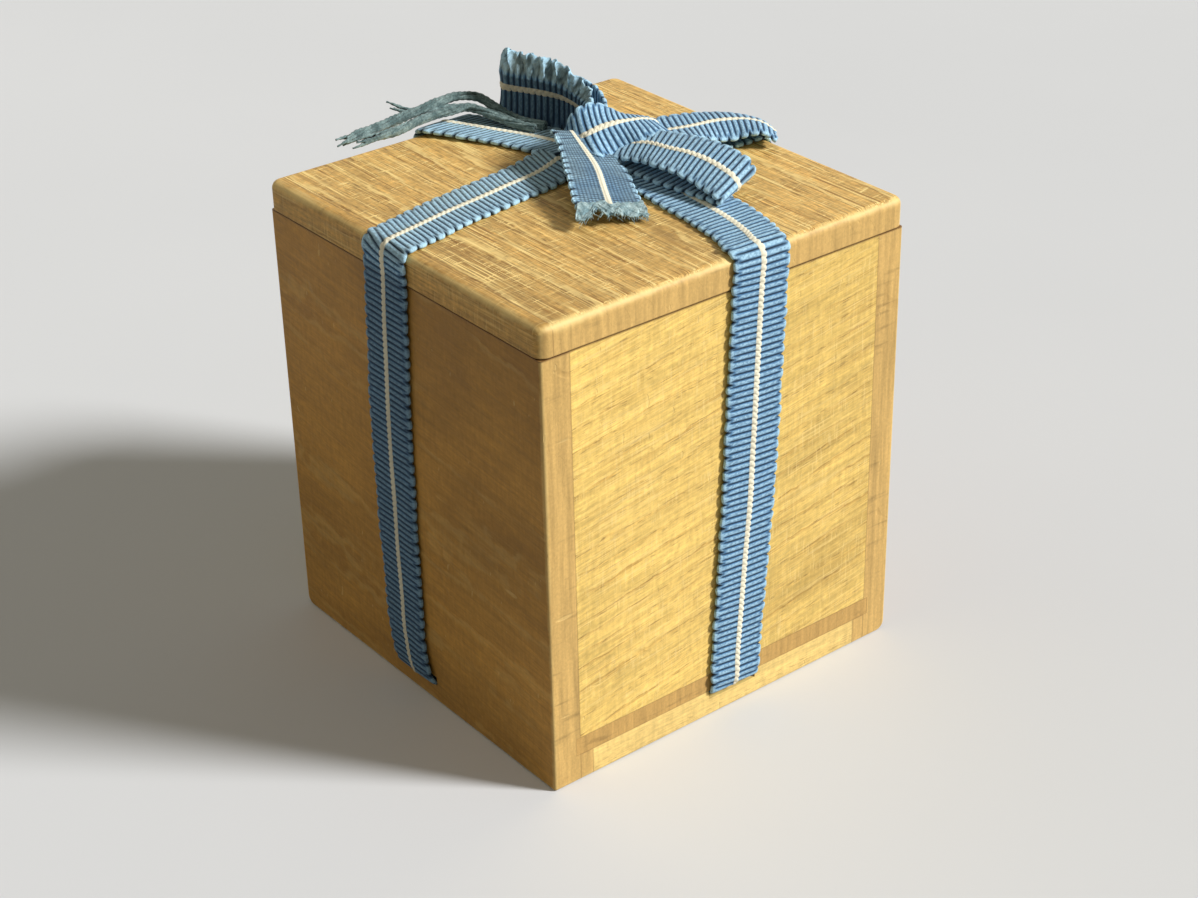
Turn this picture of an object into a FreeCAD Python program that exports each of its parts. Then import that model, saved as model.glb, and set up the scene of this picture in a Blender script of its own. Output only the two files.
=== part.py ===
import FreeCAD, Part
import math
import os

# Square wooden storage box with a lift-off lid, tied both ways with a flat woven tape,
# and the lacquered tea caddy that it holds. Millimetres, +Z up, the floor at z = 0,
# the origin under the middle of the box. Front is -Y, right is +X.

# Box
wall = 7.3
foot_height = 6.8
bottom_thickness = 4.5
bottom_rebate = 1.2
front_rail_width = 3.4
side_rail_width = 7.3
edge_round = 0.7
worn_foot_round = 2.4

# Lid
lid_thickness = 7.05
lid_seat_gap = 0.15
lid_overhang = 0.2
lid_edge_round = 1.9
lid_corner_round = 2.6
lid_strip_width = 3.4
batten_width = 6.0
batten_depth = 5.0
batten_clearance = 0.4
batten_chamfer = 0.8

# Caddy
caddy_radius = 36.5
caddy_height = 73.0
caddy_side_room = 6.2
caddy_head_room = 21.0
caddy_foot_radius = 21.0
caddy_foot_recess = 0.8
caddy_foot_ring = 3.0
caddy_body_wall = 3.4
caddy_lid_wall = 2.0
caddy_floor = 3.6
caddy_top_wall = 2.6
caddy_split_share = 0.58
caddy_neck_height = 8.0
caddy_neck_thickness = 1.2
caddy_neck_gap = 0.25
caddy_seat_gap = 0.1
caddy_skirt_margin = 1.0

# Tape
tape_width = 15.0
tape_thickness = 1.0
tape_gap = 0.1
tape_pinch = 1.0
slot_clearance = 0.25
across_slot_offset = 1.2
along_slot_offset = -1.3
foot_bend_radius = 1.0
foot_axis_rise = 1.4
foot_swing_room = 0.65
edge_bend_inner_radius = 1.2
edge_hinge_room = 0.2

# Bow
knot_x = -6.5
knot_y = 10.0
knot_length = 15.0
knot_depth = 13.0
core_height = 7.4
core_round = 2.0
wrap_clearance = 0.3
wrap_height = 10.0
wrap_round = 4.0
bow_clearance = 0.3
right_loop_length = 28.0
right_loop_height = 6.4
right_loop_lateral = 1.5
right_loop_turn_deg = 19.0
left_loop_length = 27.0
left_loop_lateral = 3.0
left_loop_curl_radius = 2.6
left_loop_turn_deg = 16.0
front_tail_length = 34.0
front_tail_turn_deg = -21.0
front_tail_rise = 3.2
front_tail_x = -9.0
front_tail_y = 1.0
back_tail_length = 37.0
back_tail_turn_deg = 76.0
back_tail_rise = 2.6
back_tail_x = -5.0
back_tail_y = 13.0
tail_knee_share = 0.45
strand_diameter = 0.9
strand_pitch = 1.2
strand_count = 3
strand_bend_radius = 8.0
strand_run = 20.0
strand_turn_deg = 68.0
strand_seat_gap = 0.2
strand_inset = 12.2
strand_offset = 4.3
cut_overrun = 5.0

# The box is made round its caddy
inner_half = caddy_radius + caddy_side_room
half = inner_half + wall
box_side = 2 * half
right_lean_share = 0.075
right_end_share = 0.16
front_lean_share = -0.027
front_end_share = -0.13
left_lean_share = 0.022
left_end_share = -0.09
left_end_out_share = 0.215
strand_center_x = strand_inset - half
strand_center_y = -box_side * left_lean_share - strand_offset
bottom_top = foot_height + bottom_thickness
wall_height = bottom_top + caddy_height + caddy_head_room
lid_half = half + lid_overhang
lid_low = wall_height + lid_seat_gap
lid_top = lid_low + lid_thickness
slot_height = 2 * tape_thickness + 3 * tape_gap
slot_width = tape_width - tape_pinch
slot_low = foot_height - slot_height
tape_face = lid_half + tape_gap
tape_on_lid = lid_top + tape_gap


def vec(x, y, z):
    return FreeCAD.Vector(x, y, z)


up = vec(0, 0, 1)


def block(x_range, y_range, z_range):
    """Axis-aligned box between the given low and high values."""
    lows = [min(r) for r in (x_range, y_range, z_range)]
    sizes = [max(r) - min(r) for r in (x_range, y_range, z_range)]
    return Part.makeBox(*sizes, vec(*lows))


def prism(points, direction):
    """Solid swept from a flat outline of points along a direction."""
    outline = Part.makePolygon(points + points[:1])
    return Part.Face(outline).extrude(direction)


def round_prism(edges, direction):
    """Solid swept from a flat outline of lines and arcs along a direction."""
    return Part.Face(Part.Wire(edges)).extrude(direction)


def edges_where(shape, test):
    """The shape's edges whose every vertex passes the test."""
    return [e for e in shape.Edges if all(test(v.Point) for v in e.Vertexes)]


def near(value, target):
    return abs(value - target) < edge_round / cut_overrun


def turned(shape, degrees):
    """Copy of the shape turned about the box's upright middle line."""
    copy = shape.copy()
    copy.rotate(vec(0, 0, 0), up, degrees)
    return copy


def one_solid(shape):
    """The single solid inside a fused or cut shape."""
    cleaned = shape.removeSplitter()
    return cleaned.Solids[0]


def save(name, solids):
    """Write one node: a solid, or a group of separate solids."""
    shape = solids[0] if len(solids) == 1 else Part.makeCompound(solids)
    if not shape.isValid() or min(s.Volume for s in shape.Solids) <= 0:
        raise ValueError(name + " is not a sound solid")
    shape.exportStep(os.path.join("parts", name + ".step"))
    print(name, len(shape.Solids), "solids", round(shape.Volume), "mm3")


def box_envelope():
    """Outside of the box with its edges worn round, and the left and back foot edges worn more."""
    body = block((-half, half), (-half, half), (0, wall_height))
    left_foot = edges_where(body, lambda p: near(p.x, -half) and near(p.z, 0))
    back_foot = edges_where(body, lambda p: near(p.y, half) and near(p.z, 0))
    body = body.makeFillet(worn_foot_round, left_foot + back_foot)
    upright = [
        e for e in body.Edges
        if e.BoundBox.ZLength > wall_height / 2 and e.BoundBox.XLength < edge_round
    ]
    return body.makeFillet(edge_round, upright)


def tape_slot(axis_is_x):
    """Room for the tape under the bottom board, through the walls on one axis."""
    reach = half + cut_overrun
    if axis_is_x:
        sides = (across_slot_offset - slot_width / 2, across_slot_offset + slot_width / 2)
        return block((-reach, reach), sides, (slot_low, foot_height))
    sides = (along_slot_offset - slot_width / 2, along_slot_offset + slot_width / 2)
    return block(sides, (-reach, reach), (slot_low, foot_height))


def make_box():
    envelope = box_envelope()
    rebate_half = inner_half + bottom_rebate
    bottom = block((-half, half), (-rebate_half, rebate_half), (foot_height, bottom_top))
    save("bottom_board", [one_solid(bottom.common(envelope))])
    for name, sign in (("front", -1), ("back", 1)):
        board = block((-half, half), (sign * inner_half, sign * half), (0, wall_height))
        board = board.cut(bottom).cut(tape_slot(False)).common(envelope)
        save(name + "_board", [one_solid(board)])
        rail_in = inner_half - front_rail_width
        rail = block((-half, half), (sign * rail_in, sign * inner_half), (0, foot_height))
        rail = rail.cut(tape_slot(False)).common(envelope)
        save(name + "_foot_rail", [one_solid(rail)])
    for name, sign in (("left", -1), ("right", 1)):
        board = block(
            (sign * inner_half, sign * half), (-inner_half, inner_half), (bottom_top, wall_height)
        )
        save(name + "_board", [one_solid(board.common(envelope))])
        rail_end = inner_half - front_rail_width
        rail = block(
            (sign * (half - side_rail_width), sign * half), (-rail_end, rail_end), (0, foot_height)
        )
        rail = rail.cut(tape_slot(True)).common(envelope)
        save(name + "_foot_rail", [one_solid(rail)])


def make_lid():
    """Lid board with its front edge strip, and the four battens that drop inside the walls."""
    blank = block((-lid_half, lid_half), (-lid_half, lid_half), (lid_low, lid_top))
    upright = [e for e in blank.Edges if e.BoundBox.ZLength > lid_thickness / 2]
    blank = blank.makeFillet(lid_corner_round, upright)
    rim = edges_where(blank, lambda p: near(p.z, lid_top))
    blank = blank.makeFillet(lid_edge_round, rim)
    lower_rim = edges_where(blank, lambda p: near(p.z, lid_low))
    blank = blank.makeFillet(edge_round / 2, lower_rim)
    reach = lid_half + cut_overrun
    strip_back = lid_strip_width - lid_half
    front = block((-reach, reach), (-reach, strip_back), (0, lid_top + cut_overrun))
    save("lid_board", [one_solid(blank.cut(front))])
    save("lid_edge_strip", [one_solid(blank.common(front))])

    outer = inner_half - batten_clearance
    inner = outer - batten_width
    plug = block((-outer, outer), (-outer, outer), (lid_low - batten_depth, lid_low))
    lower = edges_where(plug, lambda p: near(p.z, lid_low - batten_depth))
    plug = plug.makeChamfer(batten_chamfer, lower)
    z_range = (lid_low - batten_depth, lid_low)
    for name, sign in (("front", -1), ("back", 1)):
        batten = block((-outer, outer), (sign * inner, sign * outer), z_range)
        save("lid_" + name + "_batten", [one_solid(batten.common(plug))])
    for name, sign in (("left", -1), ("right", 1)):
        batten = block((sign * inner, sign * outer), (-inner, inner), z_range)
        save("lid_" + name + "_batten", [one_solid(batten.common(plug))])


def curve(*points):
    """Bezier curve in the upright plane through the caddy's middle, from (radius, height) pairs."""
    bezier = Part.BezierCurve()
    bezier.setPoles([vec(r, 0, z) for r, z in points])
    return bezier.toShape()


def line(start, end):
    return Part.makeLine(vec(start[0], 0, start[1]), vec(end[0], 0, end[1]))


def revolve(edges):
    """Solid turned about the caddy's middle line from a closed outline."""
    face = Part.Face(Part.Wire(edges))
    solid = face.revolve(vec(0, 0, 0), up, math.degrees(2 * math.pi))
    return Part.Solid(solid.Shells[0]) if not solid.Solids else solid.Solids[0]


def make_caddy():
    """Turned caddy: a cup with a thin neck, and a domed lid whose skirt slides over the neck."""
    low = bottom_top + caddy_seat_gap
    split = low + caddy_height * caddy_split_share
    top = low + caddy_height
    belly_shares = (0.5, 0.45)
    dome_shares = (0.6, 0.55)
    rise = split - low
    drop = top - split

    def lower_curve(radius, foot, floor):
        return curve(
            (foot, floor),
            (foot + (radius - foot) * (1 - belly_shares[0] / 2), floor),
            (radius, split - rise * belly_shares[1]),
            (radius, split),
        )

    skirt_top = split + caddy_neck_height + caddy_skirt_margin

    def upper_curve(radius, height):
        start = skirt_top
        return curve(
            (radius, start),
            (radius, start + (height - start) * dome_shares[0]),
            (radius * dome_shares[1], height),
            (0, height),
        )

    neck_out = caddy_radius - caddy_lid_wall - caddy_neck_gap
    neck_in = neck_out - caddy_neck_thickness
    neck_top = split + caddy_neck_height
    floor = low + caddy_floor
    recess_radius = caddy_foot_radius - caddy_foot_ring
    recess_top = low + caddy_foot_recess
    body = revolve([
        line((0, recess_top), (recess_radius, recess_top)),
        line((recess_radius, recess_top), (recess_radius, low)),
        line((recess_radius, low), (caddy_foot_radius, low)),
        lower_curve(caddy_radius, caddy_foot_radius, low),
        line((caddy_radius, split), (neck_out, split)),
        line((neck_out, split), (neck_out, neck_top)),
        line((neck_out, neck_top), (neck_in, neck_top)),
        line((neck_in, neck_top), (neck_in, split)),
        lower_curve(neck_in, recess_radius, floor),
        line((recess_radius, floor), (0, floor)),
        line((0, floor), (0, recess_top)),
    ])
    save("caddy_body", [body])

    lift = vec(0, 0, caddy_seat_gap)
    skirt_in = caddy_radius - caddy_lid_wall
    lid = revolve([
        line((skirt_in, split), (caddy_radius, split)),
        line((caddy_radius, split), (caddy_radius, skirt_top)),
        upper_curve(caddy_radius, top - caddy_seat_gap),
        line((0, top - caddy_seat_gap), (0, top - caddy_top_wall)),
        upper_curve(skirt_in, top - caddy_top_wall),
        line((skirt_in, skirt_top), (skirt_in, split)),
    ])
    lid.translate(lift)
    save("caddy_lid", [lid])
    print("caddy dome height", round(drop, 1))


def arc(center, radius, start_deg, end_deg, plane_point):
    """Circular arc in an upright plane. plane_point maps (across, height) to a point."""
    middle_deg = (start_deg + end_deg) / 2
    points = []
    for degrees in (start_deg, middle_deg, end_deg):
        angle = math.radians(degrees)
        across = center[0] + radius * math.cos(angle)
        points.append(plane_point(across, center[1] + radius * math.sin(angle)))
    return Part.Arc(*points).toShape()


quarter = 90
half_turn = 180


def under_run(offset, level):
    """Tape under the bottom board along X, bent up at both slots. level is its middle height."""
    side = offset - slot_width / 2 + slot_clearance
    width = slot_width - 2 * slot_clearance
    outer = tape_face + tape_thickness
    bend_x = outer - tape_thickness / 2 - foot_bend_radius
    outer_radius = foot_bend_radius + tape_thickness / 2
    inner_radius = foot_bend_radius - tape_thickness / 2
    bend_z = level + foot_bend_radius
    end_z = foot_height + foot_axis_rise - foot_swing_room

    def at(x, z):
        return vec(x, side, z)

    edges = [
        Part.makeLine(at(-bend_x, level - tape_thickness / 2), at(bend_x, level - tape_thickness / 2)),
        arc((bend_x, bend_z), outer_radius, -quarter, 0, at),
        Part.makeLine(at(outer, bend_z), at(outer, end_z)),
        Part.makeLine(at(outer, end_z), at(tape_face, end_z)),
        Part.makeLine(at(tape_face, end_z), at(tape_face, bend_z)),
        arc((bend_x, bend_z), inner_radius, 0, -quarter, at),
        Part.makeLine(at(bend_x, level + tape_thickness / 2), at(-bend_x, level + tape_thickness / 2)),
        arc((-bend_x, bend_z), inner_radius, -quarter, -half_turn, at),
        Part.makeLine(at(-tape_face, bend_z), at(-tape_face, end_z)),
        Part.makeLine(at(-tape_face, end_z), at(-outer, end_z)),
        Part.makeLine(at(-outer, end_z), at(-outer, bend_z)),
        arc((-bend_x, bend_z), outer_radius, half_turn, half_turn + quarter, at),
    ]
    return round_prism(edges, vec(0, width, 0))


def side_stretch(foot_offset, top_offset):
    """Tape up the right-hand face, leaning from its slot to where it crosses the lid's edge."""
    low = foot_height + foot_axis_rise
    high = tape_on_lid - edge_bend_inner_radius - edge_hinge_room
    middles = ((foot_offset, low), (top_offset, high))
    near_side = [vec(tape_face, y - tape_width / 2, z) for y, z in middles]
    far_side = [vec(tape_face, y + tape_width / 2, z) for y, z in reversed(middles)]
    return prism(near_side + far_side, vec(tape_thickness, 0, 0))


def top_stretch(edge_offset, end_out, end_offset):
    """Tape on the lid: bent over the right-hand edge, then flat to its end near the knot."""
    bend_x = tape_face - edge_bend_inner_radius
    bend_z = tape_on_lid - edge_bend_inner_radius
    outer_radius = edge_bend_inner_radius + tape_thickness
    side = edge_offset - tape_width / 2

    def at(x, z):
        return vec(x, side, z)

    bend = round_prism(
        [
            Part.makeLine(at(tape_face, bend_z), at(tape_face + tape_thickness, bend_z)),
            arc((bend_x, bend_z), outer_radius, 0, quarter, at),
            Part.makeLine(at(bend_x, tape_on_lid + tape_thickness), at(bend_x, tape_on_lid)),
            arc((bend_x, bend_z), edge_bend_inner_radius, quarter, 0, at),
        ],
        vec(0, tape_width, 0),
    )
    flat = prism(
        [
            vec(bend_x, edge_offset - tape_width / 2, tape_on_lid),
            vec(bend_x, edge_offset + tape_width / 2, tape_on_lid),
            vec(end_out, end_offset + tape_width / 2, tape_on_lid),
            vec(end_out, end_offset - tape_width / 2, tape_on_lid),
        ],
        vec(0, 0, tape_thickness),
    )
    return one_solid(bend.fuse(flat))


def make_tape():
    """The tape under the box, up its four sides and over the lid."""
    across_level = foot_height - tape_gap - tape_thickness / 2
    along_level = across_level - tape_gap - tape_thickness
    save("tape_under_across", [under_run(across_slot_offset, across_level)])
    save("tape_under_along", [turned(under_run(-along_slot_offset, along_level), quarter)])

    knot_right = knot_x + knot_length / 2
    knot_back = knot_y + knot_depth / 2
    knot_front = knot_y - knot_depth / 2
    wrap_edge = wrap_clearance + tape_thickness + bow_clearance
    arms = {
        "right": (
            0, across_slot_offset, box_side * right_lean_share,
            knot_right + wrap_edge + slot_clearance, box_side * right_end_share,
        ),
        "back": (
            quarter, -along_slot_offset, -along_slot_offset,
            knot_back + wrap_edge, -knot_x,
        ),
        "left": (
            half_turn, -across_slot_offset, box_side * left_lean_share,
            box_side * left_end_out_share, box_side * left_end_share,
        ),
        "front": (
            -quarter, along_slot_offset, box_side * front_lean_share,
            -(knot_front - wrap_edge), box_side * front_end_share,
        ),
    }
    for name, (degrees, foot_offset, edge_offset, end_out, end_offset) in arms.items():
        save("tape_" + name + "_side", [turned(side_stretch(foot_offset, edge_offset), degrees)])
        save("tape_" + name + "_top", [turned(top_stretch(edge_offset, end_out, end_offset), degrees)])


def knot_block(clearance, height):
    """Space of the wrapped knot, grown by a clearance, up to a height over the lid."""
    depth = knot_depth / 2 + wrap_clearance + tape_thickness + clearance
    return block(
        (knot_x - knot_length / 2 - clearance, knot_x + knot_length / 2 + clearance),
        (knot_y - depth, knot_y + depth),
        (0, tape_on_lid + height),
    )


def make_knot():
    """The squeezed middle of the knot, and the band of tape that wraps over it."""
    core = block(
        (knot_x - knot_length / 2, knot_x + knot_length / 2),
        (knot_y - knot_depth / 2, knot_y + knot_depth / 2),
        (tape_on_lid, tape_on_lid + core_height),
    )
    long_edges = [e for e in core.Edges if e.BoundBox.XLength > knot_length / 2]
    core = core.makeFillet(core_round, long_edges)
    save("bow_core", [core])

    inside = knot_depth / 2 + wrap_clearance
    outside = inside + tape_thickness
    roof = tape_on_lid + wrap_height
    start_x = knot_x - knot_length / 2
    turn = vec(knot_length, 0, 0)

    def arch(half_depth, height, radius):
        points = (
            vec(start_x, knot_y - half_depth, tape_on_lid),
            vec(start_x, knot_y + half_depth, tape_on_lid),
            vec(start_x, knot_y + half_depth, height),
            vec(start_x, knot_y - half_depth, height),
        )
        solid = prism(list(points), turn)
        top_edges = [
            e for e in solid.Edges
            if e.BoundBox.XLength > knot_length / 2 and near(e.BoundBox.ZMin, height)
        ]
        return solid.makeFillet(radius, top_edges)

    shell = arch(outside, roof, wrap_round)
    room = arch(inside, roof - tape_thickness, wrap_round - tape_thickness)
    save("bow_wrap", [one_solid(shell.cut(room))])


bow_floor = tape_on_lid + tape_thickness + bow_clearance


def place_right_loop(shape):
    """Turn a shape drawn along +X from the knot's middle to where the right loop lies."""
    copy = shape.copy()
    copy.rotate(vec(0, 0, 0), up, right_loop_turn_deg)
    copy.translate(vec(knot_x, knot_y + right_loop_lateral, 0))
    return copy


def make_right_loop():
    """Flat loop to the right: two limbs joined by a round fold at the far end."""
    low = bow_floor
    radius = right_loop_height / 2
    inner_radius = radius - tape_thickness
    high = low + right_loop_height
    bend_x = knot_length / 2 + right_loop_length - radius
    middle = low + radius

    def at(x, z):
        return vec(x, -tape_width / 2, z)

    loop = round_prism(
        [
            Part.makeLine(at(0, low), at(bend_x, low)),
            arc((bend_x, middle), radius, -quarter, quarter, at),
            Part.makeLine(at(bend_x, high), at(0, high)),
            Part.makeLine(at(0, high), at(0, high - tape_thickness)),
            Part.makeLine(at(0, high - tape_thickness), at(bend_x, high - tape_thickness)),
            arc((bend_x, middle), inner_radius, quarter, -quarter, at),
            Part.makeLine(at(bend_x, low + tape_thickness), at(0, low + tape_thickness)),
            Part.makeLine(at(0, low + tape_thickness), at(0, low)),
        ],
        vec(0, tape_width, 0),
    )
    loop = place_right_loop(loop).cut(knot_block(bow_clearance, half)).cut(left_of_knot())
    save("bow_right_loop", [one_solid(loop)])


def left_of_knot():
    """Everything left of the knot's right-hand face."""
    face = knot_x + knot_length / 2 + bow_clearance
    reach = half + cut_overrun
    return block((-reach, face), (-reach, reach), (0, lid_top + reach))


def front_of_knot():
    """Everything in front of the knot's back face."""
    face = knot_y + knot_depth / 2 + wrap_clearance + tape_thickness + bow_clearance
    reach = half + cut_overrun
    return block((-reach, reach), (-reach, face), (0, lid_top + reach))


def right_loop_space():
    """Space over and under the right loop, grown by the bow clearance."""
    side = tape_width / 2 + bow_clearance
    end = knot_length / 2 + right_loop_length + bow_clearance
    return place_right_loop(block((0, end), (-side, side), (0, lid_top + half)))


def make_left_loop():
    """Loop that stands on its edge: two limbs joined by a round fold at the far end."""
    radius = left_loop_curl_radius
    inner_radius = radius - tape_thickness
    end = -(knot_length / 2 + left_loop_length - radius)

    def at(x, y):
        return vec(x, y, bow_floor)

    loop = round_prism(
        [
            Part.makeLine(at(0, radius), at(end, radius)),
            arc((end, 0), radius, quarter, half_turn + quarter, at),
            Part.makeLine(at(end, -radius), at(0, -radius)),
            Part.makeLine(at(0, -radius), at(0, -inner_radius)),
            Part.makeLine(at(0, -inner_radius), at(end, -inner_radius)),
            arc((end, 0), inner_radius, half_turn + quarter, quarter, at),
            Part.makeLine(at(end, inner_radius), at(0, inner_radius)),
            Part.makeLine(at(0, inner_radius), at(0, radius)),
        ],
        vec(0, 0, tape_width),
    )
    loop.rotate(vec(0, 0, 0), up, left_loop_turn_deg)
    loop.translate(vec(knot_x, knot_y + left_loop_lateral, 0))
    room = knot_block(bow_clearance, half)
    limbs = loop.cut(room)
    behind = knot_x - knot_length / 2
    save("bow_left_loop", [s for s in limbs.Solids if s.BoundBox.XMin < behind])


def tail_shape(length, rise, turn_deg, x, y):
    """Cut end of the tape: comes out raised at the knot and lies down towards its end."""
    low = bow_floor
    knee = length * tail_knee_share

    def at(along, z):
        return vec(along, -tape_width / 2, z)

    tail = prism(
        [
            at(0, low + rise),
            at(knee, low),
            at(length, low),
            at(length, low + tape_thickness),
            at(knee, low + tape_thickness),
            at(0, low + rise + tape_thickness),
        ],
        vec(0, tape_width, 0),
    )
    tail.rotate(vec(0, 0, 0), up, turn_deg)
    tail.translate(vec(x, y, 0))
    return tail.cut(knot_block(bow_clearance, half)).cut(right_loop_space())


def largest(shape):
    return max(shape.Solids, key=lambda s: s.Volume)


def make_tails():
    """The two cut ends, one towards the front right and one towards the back."""
    front = tail_shape(
        front_tail_length, front_tail_rise, front_tail_turn_deg, front_tail_x, front_tail_y
    )
    save("bow_front_tail", [largest(front)])
    back = tail_shape(back_tail_length, back_tail_rise, back_tail_turn_deg, back_tail_x, back_tail_y)
    save("bow_back_tail", [largest(back.cut(front_of_knot()))])


def make_strands():
    """Loose strands of worn tape that lie over the left-hand stretch and round to the front."""
    radius = strand_diameter / 2
    z = tape_on_lid + tape_thickness + strand_seat_gap + radius

    def at(x, y):
        return vec(x, y, z)

    strands = []
    for number in range(strand_count):
        bend = strand_bend_radius + number * strand_pitch
        start_deg = half_turn - strand_turn_deg
        first = arc((strand_center_x, strand_center_y), bend, start_deg, half_turn, at)
        end = at(strand_center_x - bend, strand_center_y)
        path = Part.Wire([first, Part.makeLine(end, end - vec(0, strand_run, 0))])
        angle = math.radians(start_deg)
        begin = at(
            strand_center_x + bend * math.cos(angle), strand_center_y + bend * math.sin(angle)
        )
        heading = vec(-math.sin(angle), math.cos(angle), 0)
        ring = Part.Wire([Part.makeCircle(radius, begin, heading)])
        strands.append(path.makePipeShell([ring], True, False))
    save("frayed_strands", [s.Solids[0] if s.Solids else Part.Solid(s.Shells[0]) for s in strands])


def main():
    os.makedirs("parts", exist_ok=True)
    make_box()
    make_lid()
    make_caddy()
    make_tape()
    make_knot()
    make_right_loop()
    make_left_loop()
    make_tails()
    make_strands()


main()
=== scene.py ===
"""Square wooden storage box tied both ways with a ribbed tape, holding a lacquered tea caddy.

The CAD frame gives every rigid piece its shape. This file gives the wood and the lacquer their
finish, and makes the tape and its bow as woven, ribbed bands.
"""
import math

import bpy
import numpy as np
from bpy.props import FloatProperty, FloatVectorProperty, PointerProperty
from mathutils import Matrix, Vector


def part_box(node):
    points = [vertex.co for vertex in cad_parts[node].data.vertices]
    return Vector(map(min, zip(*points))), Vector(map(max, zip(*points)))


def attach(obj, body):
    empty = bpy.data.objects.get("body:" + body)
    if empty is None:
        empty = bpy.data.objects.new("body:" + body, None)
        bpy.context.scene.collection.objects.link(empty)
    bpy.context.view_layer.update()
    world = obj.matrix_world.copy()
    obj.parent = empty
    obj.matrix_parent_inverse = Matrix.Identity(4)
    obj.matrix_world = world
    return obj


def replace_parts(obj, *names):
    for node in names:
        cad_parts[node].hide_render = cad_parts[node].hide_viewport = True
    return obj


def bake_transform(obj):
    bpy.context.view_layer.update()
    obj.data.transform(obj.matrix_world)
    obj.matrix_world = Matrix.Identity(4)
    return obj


bl_info = {
    "name": "Tied Tea Caddy Box",
    "version": (1, 0, 0),
    "blender": (4, 5, 0),
    "location": "3D View > Sidebar > Caddy Box",
    "description": "Wooden box tied with ribbed tape, with the lacquered tea caddy that it holds",
    "category": "Add Mesh",
}

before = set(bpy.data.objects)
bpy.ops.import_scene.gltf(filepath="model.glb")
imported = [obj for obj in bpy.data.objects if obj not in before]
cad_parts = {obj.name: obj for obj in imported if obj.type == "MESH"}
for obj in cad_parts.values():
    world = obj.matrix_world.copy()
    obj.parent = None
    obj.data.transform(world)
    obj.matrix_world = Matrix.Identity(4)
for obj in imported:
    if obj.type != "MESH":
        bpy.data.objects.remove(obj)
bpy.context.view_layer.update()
MM = 0.001

# Places taken from the frame
LID_HALF, _, LID_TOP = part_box("lid_board")[1]
BOX_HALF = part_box("bottom_board")[1][0]
WALL_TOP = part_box("front_board")[1][2]
TAPE_INSIDE, TAPE_OUTSIDE = (corner[0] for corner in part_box("tape_right_side"))
TAPE_THICKNESS = TAPE_OUTSIDE - TAPE_INSIDE
TAPE_FACE = (TAPE_OUTSIDE + TAPE_INSIDE) / 2
TAPE_ON_LID = LID_TOP + TAPE_THICKNESS / 2 + 0.1 * MM
LEVEL_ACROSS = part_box("tape_under_across")[0][2] + TAPE_THICKNESS / 2
LEVEL_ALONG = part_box("tape_under_along")[0][2] + TAPE_THICKNESS / 2


def length_setting(name, description, millimetres):
    return FloatProperty(name=name, description=description, default=millimetres * MM, unit="LENGTH")


def colour_setting(name, description, *colour):
    return FloatVectorProperty(
        name=name, description=description, subtype="COLOR", size=4, default=(*colour, 1.0), min=0.0, max=1.0)


class TapeSettings(bpy.types.PropertyGroup):
    """Sizes and colours of the woven tape."""

    width: length_setting("Width", "Width of the tape between its scalloped edges", 15.0)
    rib_pitch: length_setting("Rib pitch", "Distance from one cross rib to the next", 1.45)
    rib_height: length_setting("Rib height", "How far a rib stands over the groove beside it", 0.4)
    scallop_depth: length_setting("Scallop depth", "How far the edge loops stand out", 1.0)
    stripe_width: length_setting("Stripe width", "Width of the pale yarn along the middle", 1.4)
    blue: colour_setting("Blue", "Colour of the rib tops", 0.085, 0.235, 0.46)
    # Painted shade: the grooves between ribs are given this dark colour.
    painted_shade_blue: colour_setting("Deep blue", "Colour of the grooves between ribs", 0.01, 0.028, 0.055)
    faded_blue: colour_setting("Faded blue", "Colour of the worn, greyer parts", 0.29, 0.42, 0.47)
    # Crowns and edge loops: rubbed paler, and also a painted highlight.
    rubbed_and_highlight_blue: colour_setting("Rubbed blue", "Colour of bright crowns and edge loops", 0.47, 0.75, 0.95)
    cream: colour_setting("Cream", "Colour of the yarn along the middle", 0.92, 0.88, 0.7)


class WoodSettings(bpy.types.PropertyGroup):
    """Colours of the bare paulownia."""

    pore: colour_setting("Pores", "Colour inside the open pores", 0.16, 0.075, 0.025)
    worn: colour_setting("Worn edge", "Colour of the rubbed edges", 0.98, 0.74, 0.3)


class LacquerSettings(bpy.types.PropertyGroup):
    """Finish of the tea caddy."""

    black: colour_setting("Lacquer", "Colour of the outer lacquer", 0.012, 0.009, 0.008)
    roughness: FloatProperty(
        name="Polish", description="Roughness of the polished lacquer", default=0.12, min=0.0, max=1.0)


class StageSettings(bpy.types.PropertyGroup):
    """Place, turn and lens of the camera."""

    camera_place: FloatVectorProperty(
        name="Camera", description="Where the photograph was taken from", size=3, subtype="TRANSLATION",
        default=(377.38 * MM, -291.51 * MM, 314.05 * MM))
    azimuth: FloatProperty(name="Azimuth", description="Camera's turn, in degrees", default=52.0113)
    elevation: FloatProperty(name="Elevation", description="Camera's height, in degrees", default=29.3228)
    roll: FloatProperty(name="Roll", description="Camera's tilt, in degrees", default=-1.261)
    lens: FloatProperty(name="Lens", description="Focal length on a 36 mm sensor", default=70.08)


# Mesh and path helpers

def mesh_object(name, points, quads, uv=None):
    """Smooth object from points and quads. uv holds a pair of metres for each point."""
    mesh = bpy.data.meshes.new(name)
    points = np.asarray(points, np.float32).reshape(-1, 3)
    corners = quads.astype(np.int32).ravel()
    mesh.vertices.add(len(points))
    mesh.vertices.foreach_set("co", points.ravel())
    mesh.loops.add(len(corners))
    mesh.loops.foreach_set("vertex_index", corners)
    mesh.polygons.add(len(quads))
    mesh.polygons.foreach_set("loop_start", np.arange(0, len(corners), 4))
    mesh.update(calc_edges=True)
    if uv is not None:
        layer = mesh.uv_layers.new(name="UVMap")
        layer.data.foreach_set("uv", np.asarray(uv, np.float32).reshape(-1, 2)[corners].ravel())
    mesh.polygons.foreach_set("use_smooth", np.full(len(quads), True))
    mesh.validate()
    thing = bpy.data.objects.new(name, mesh)
    bpy.context.scene.collection.objects.link(thing)
    return thing


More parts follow.
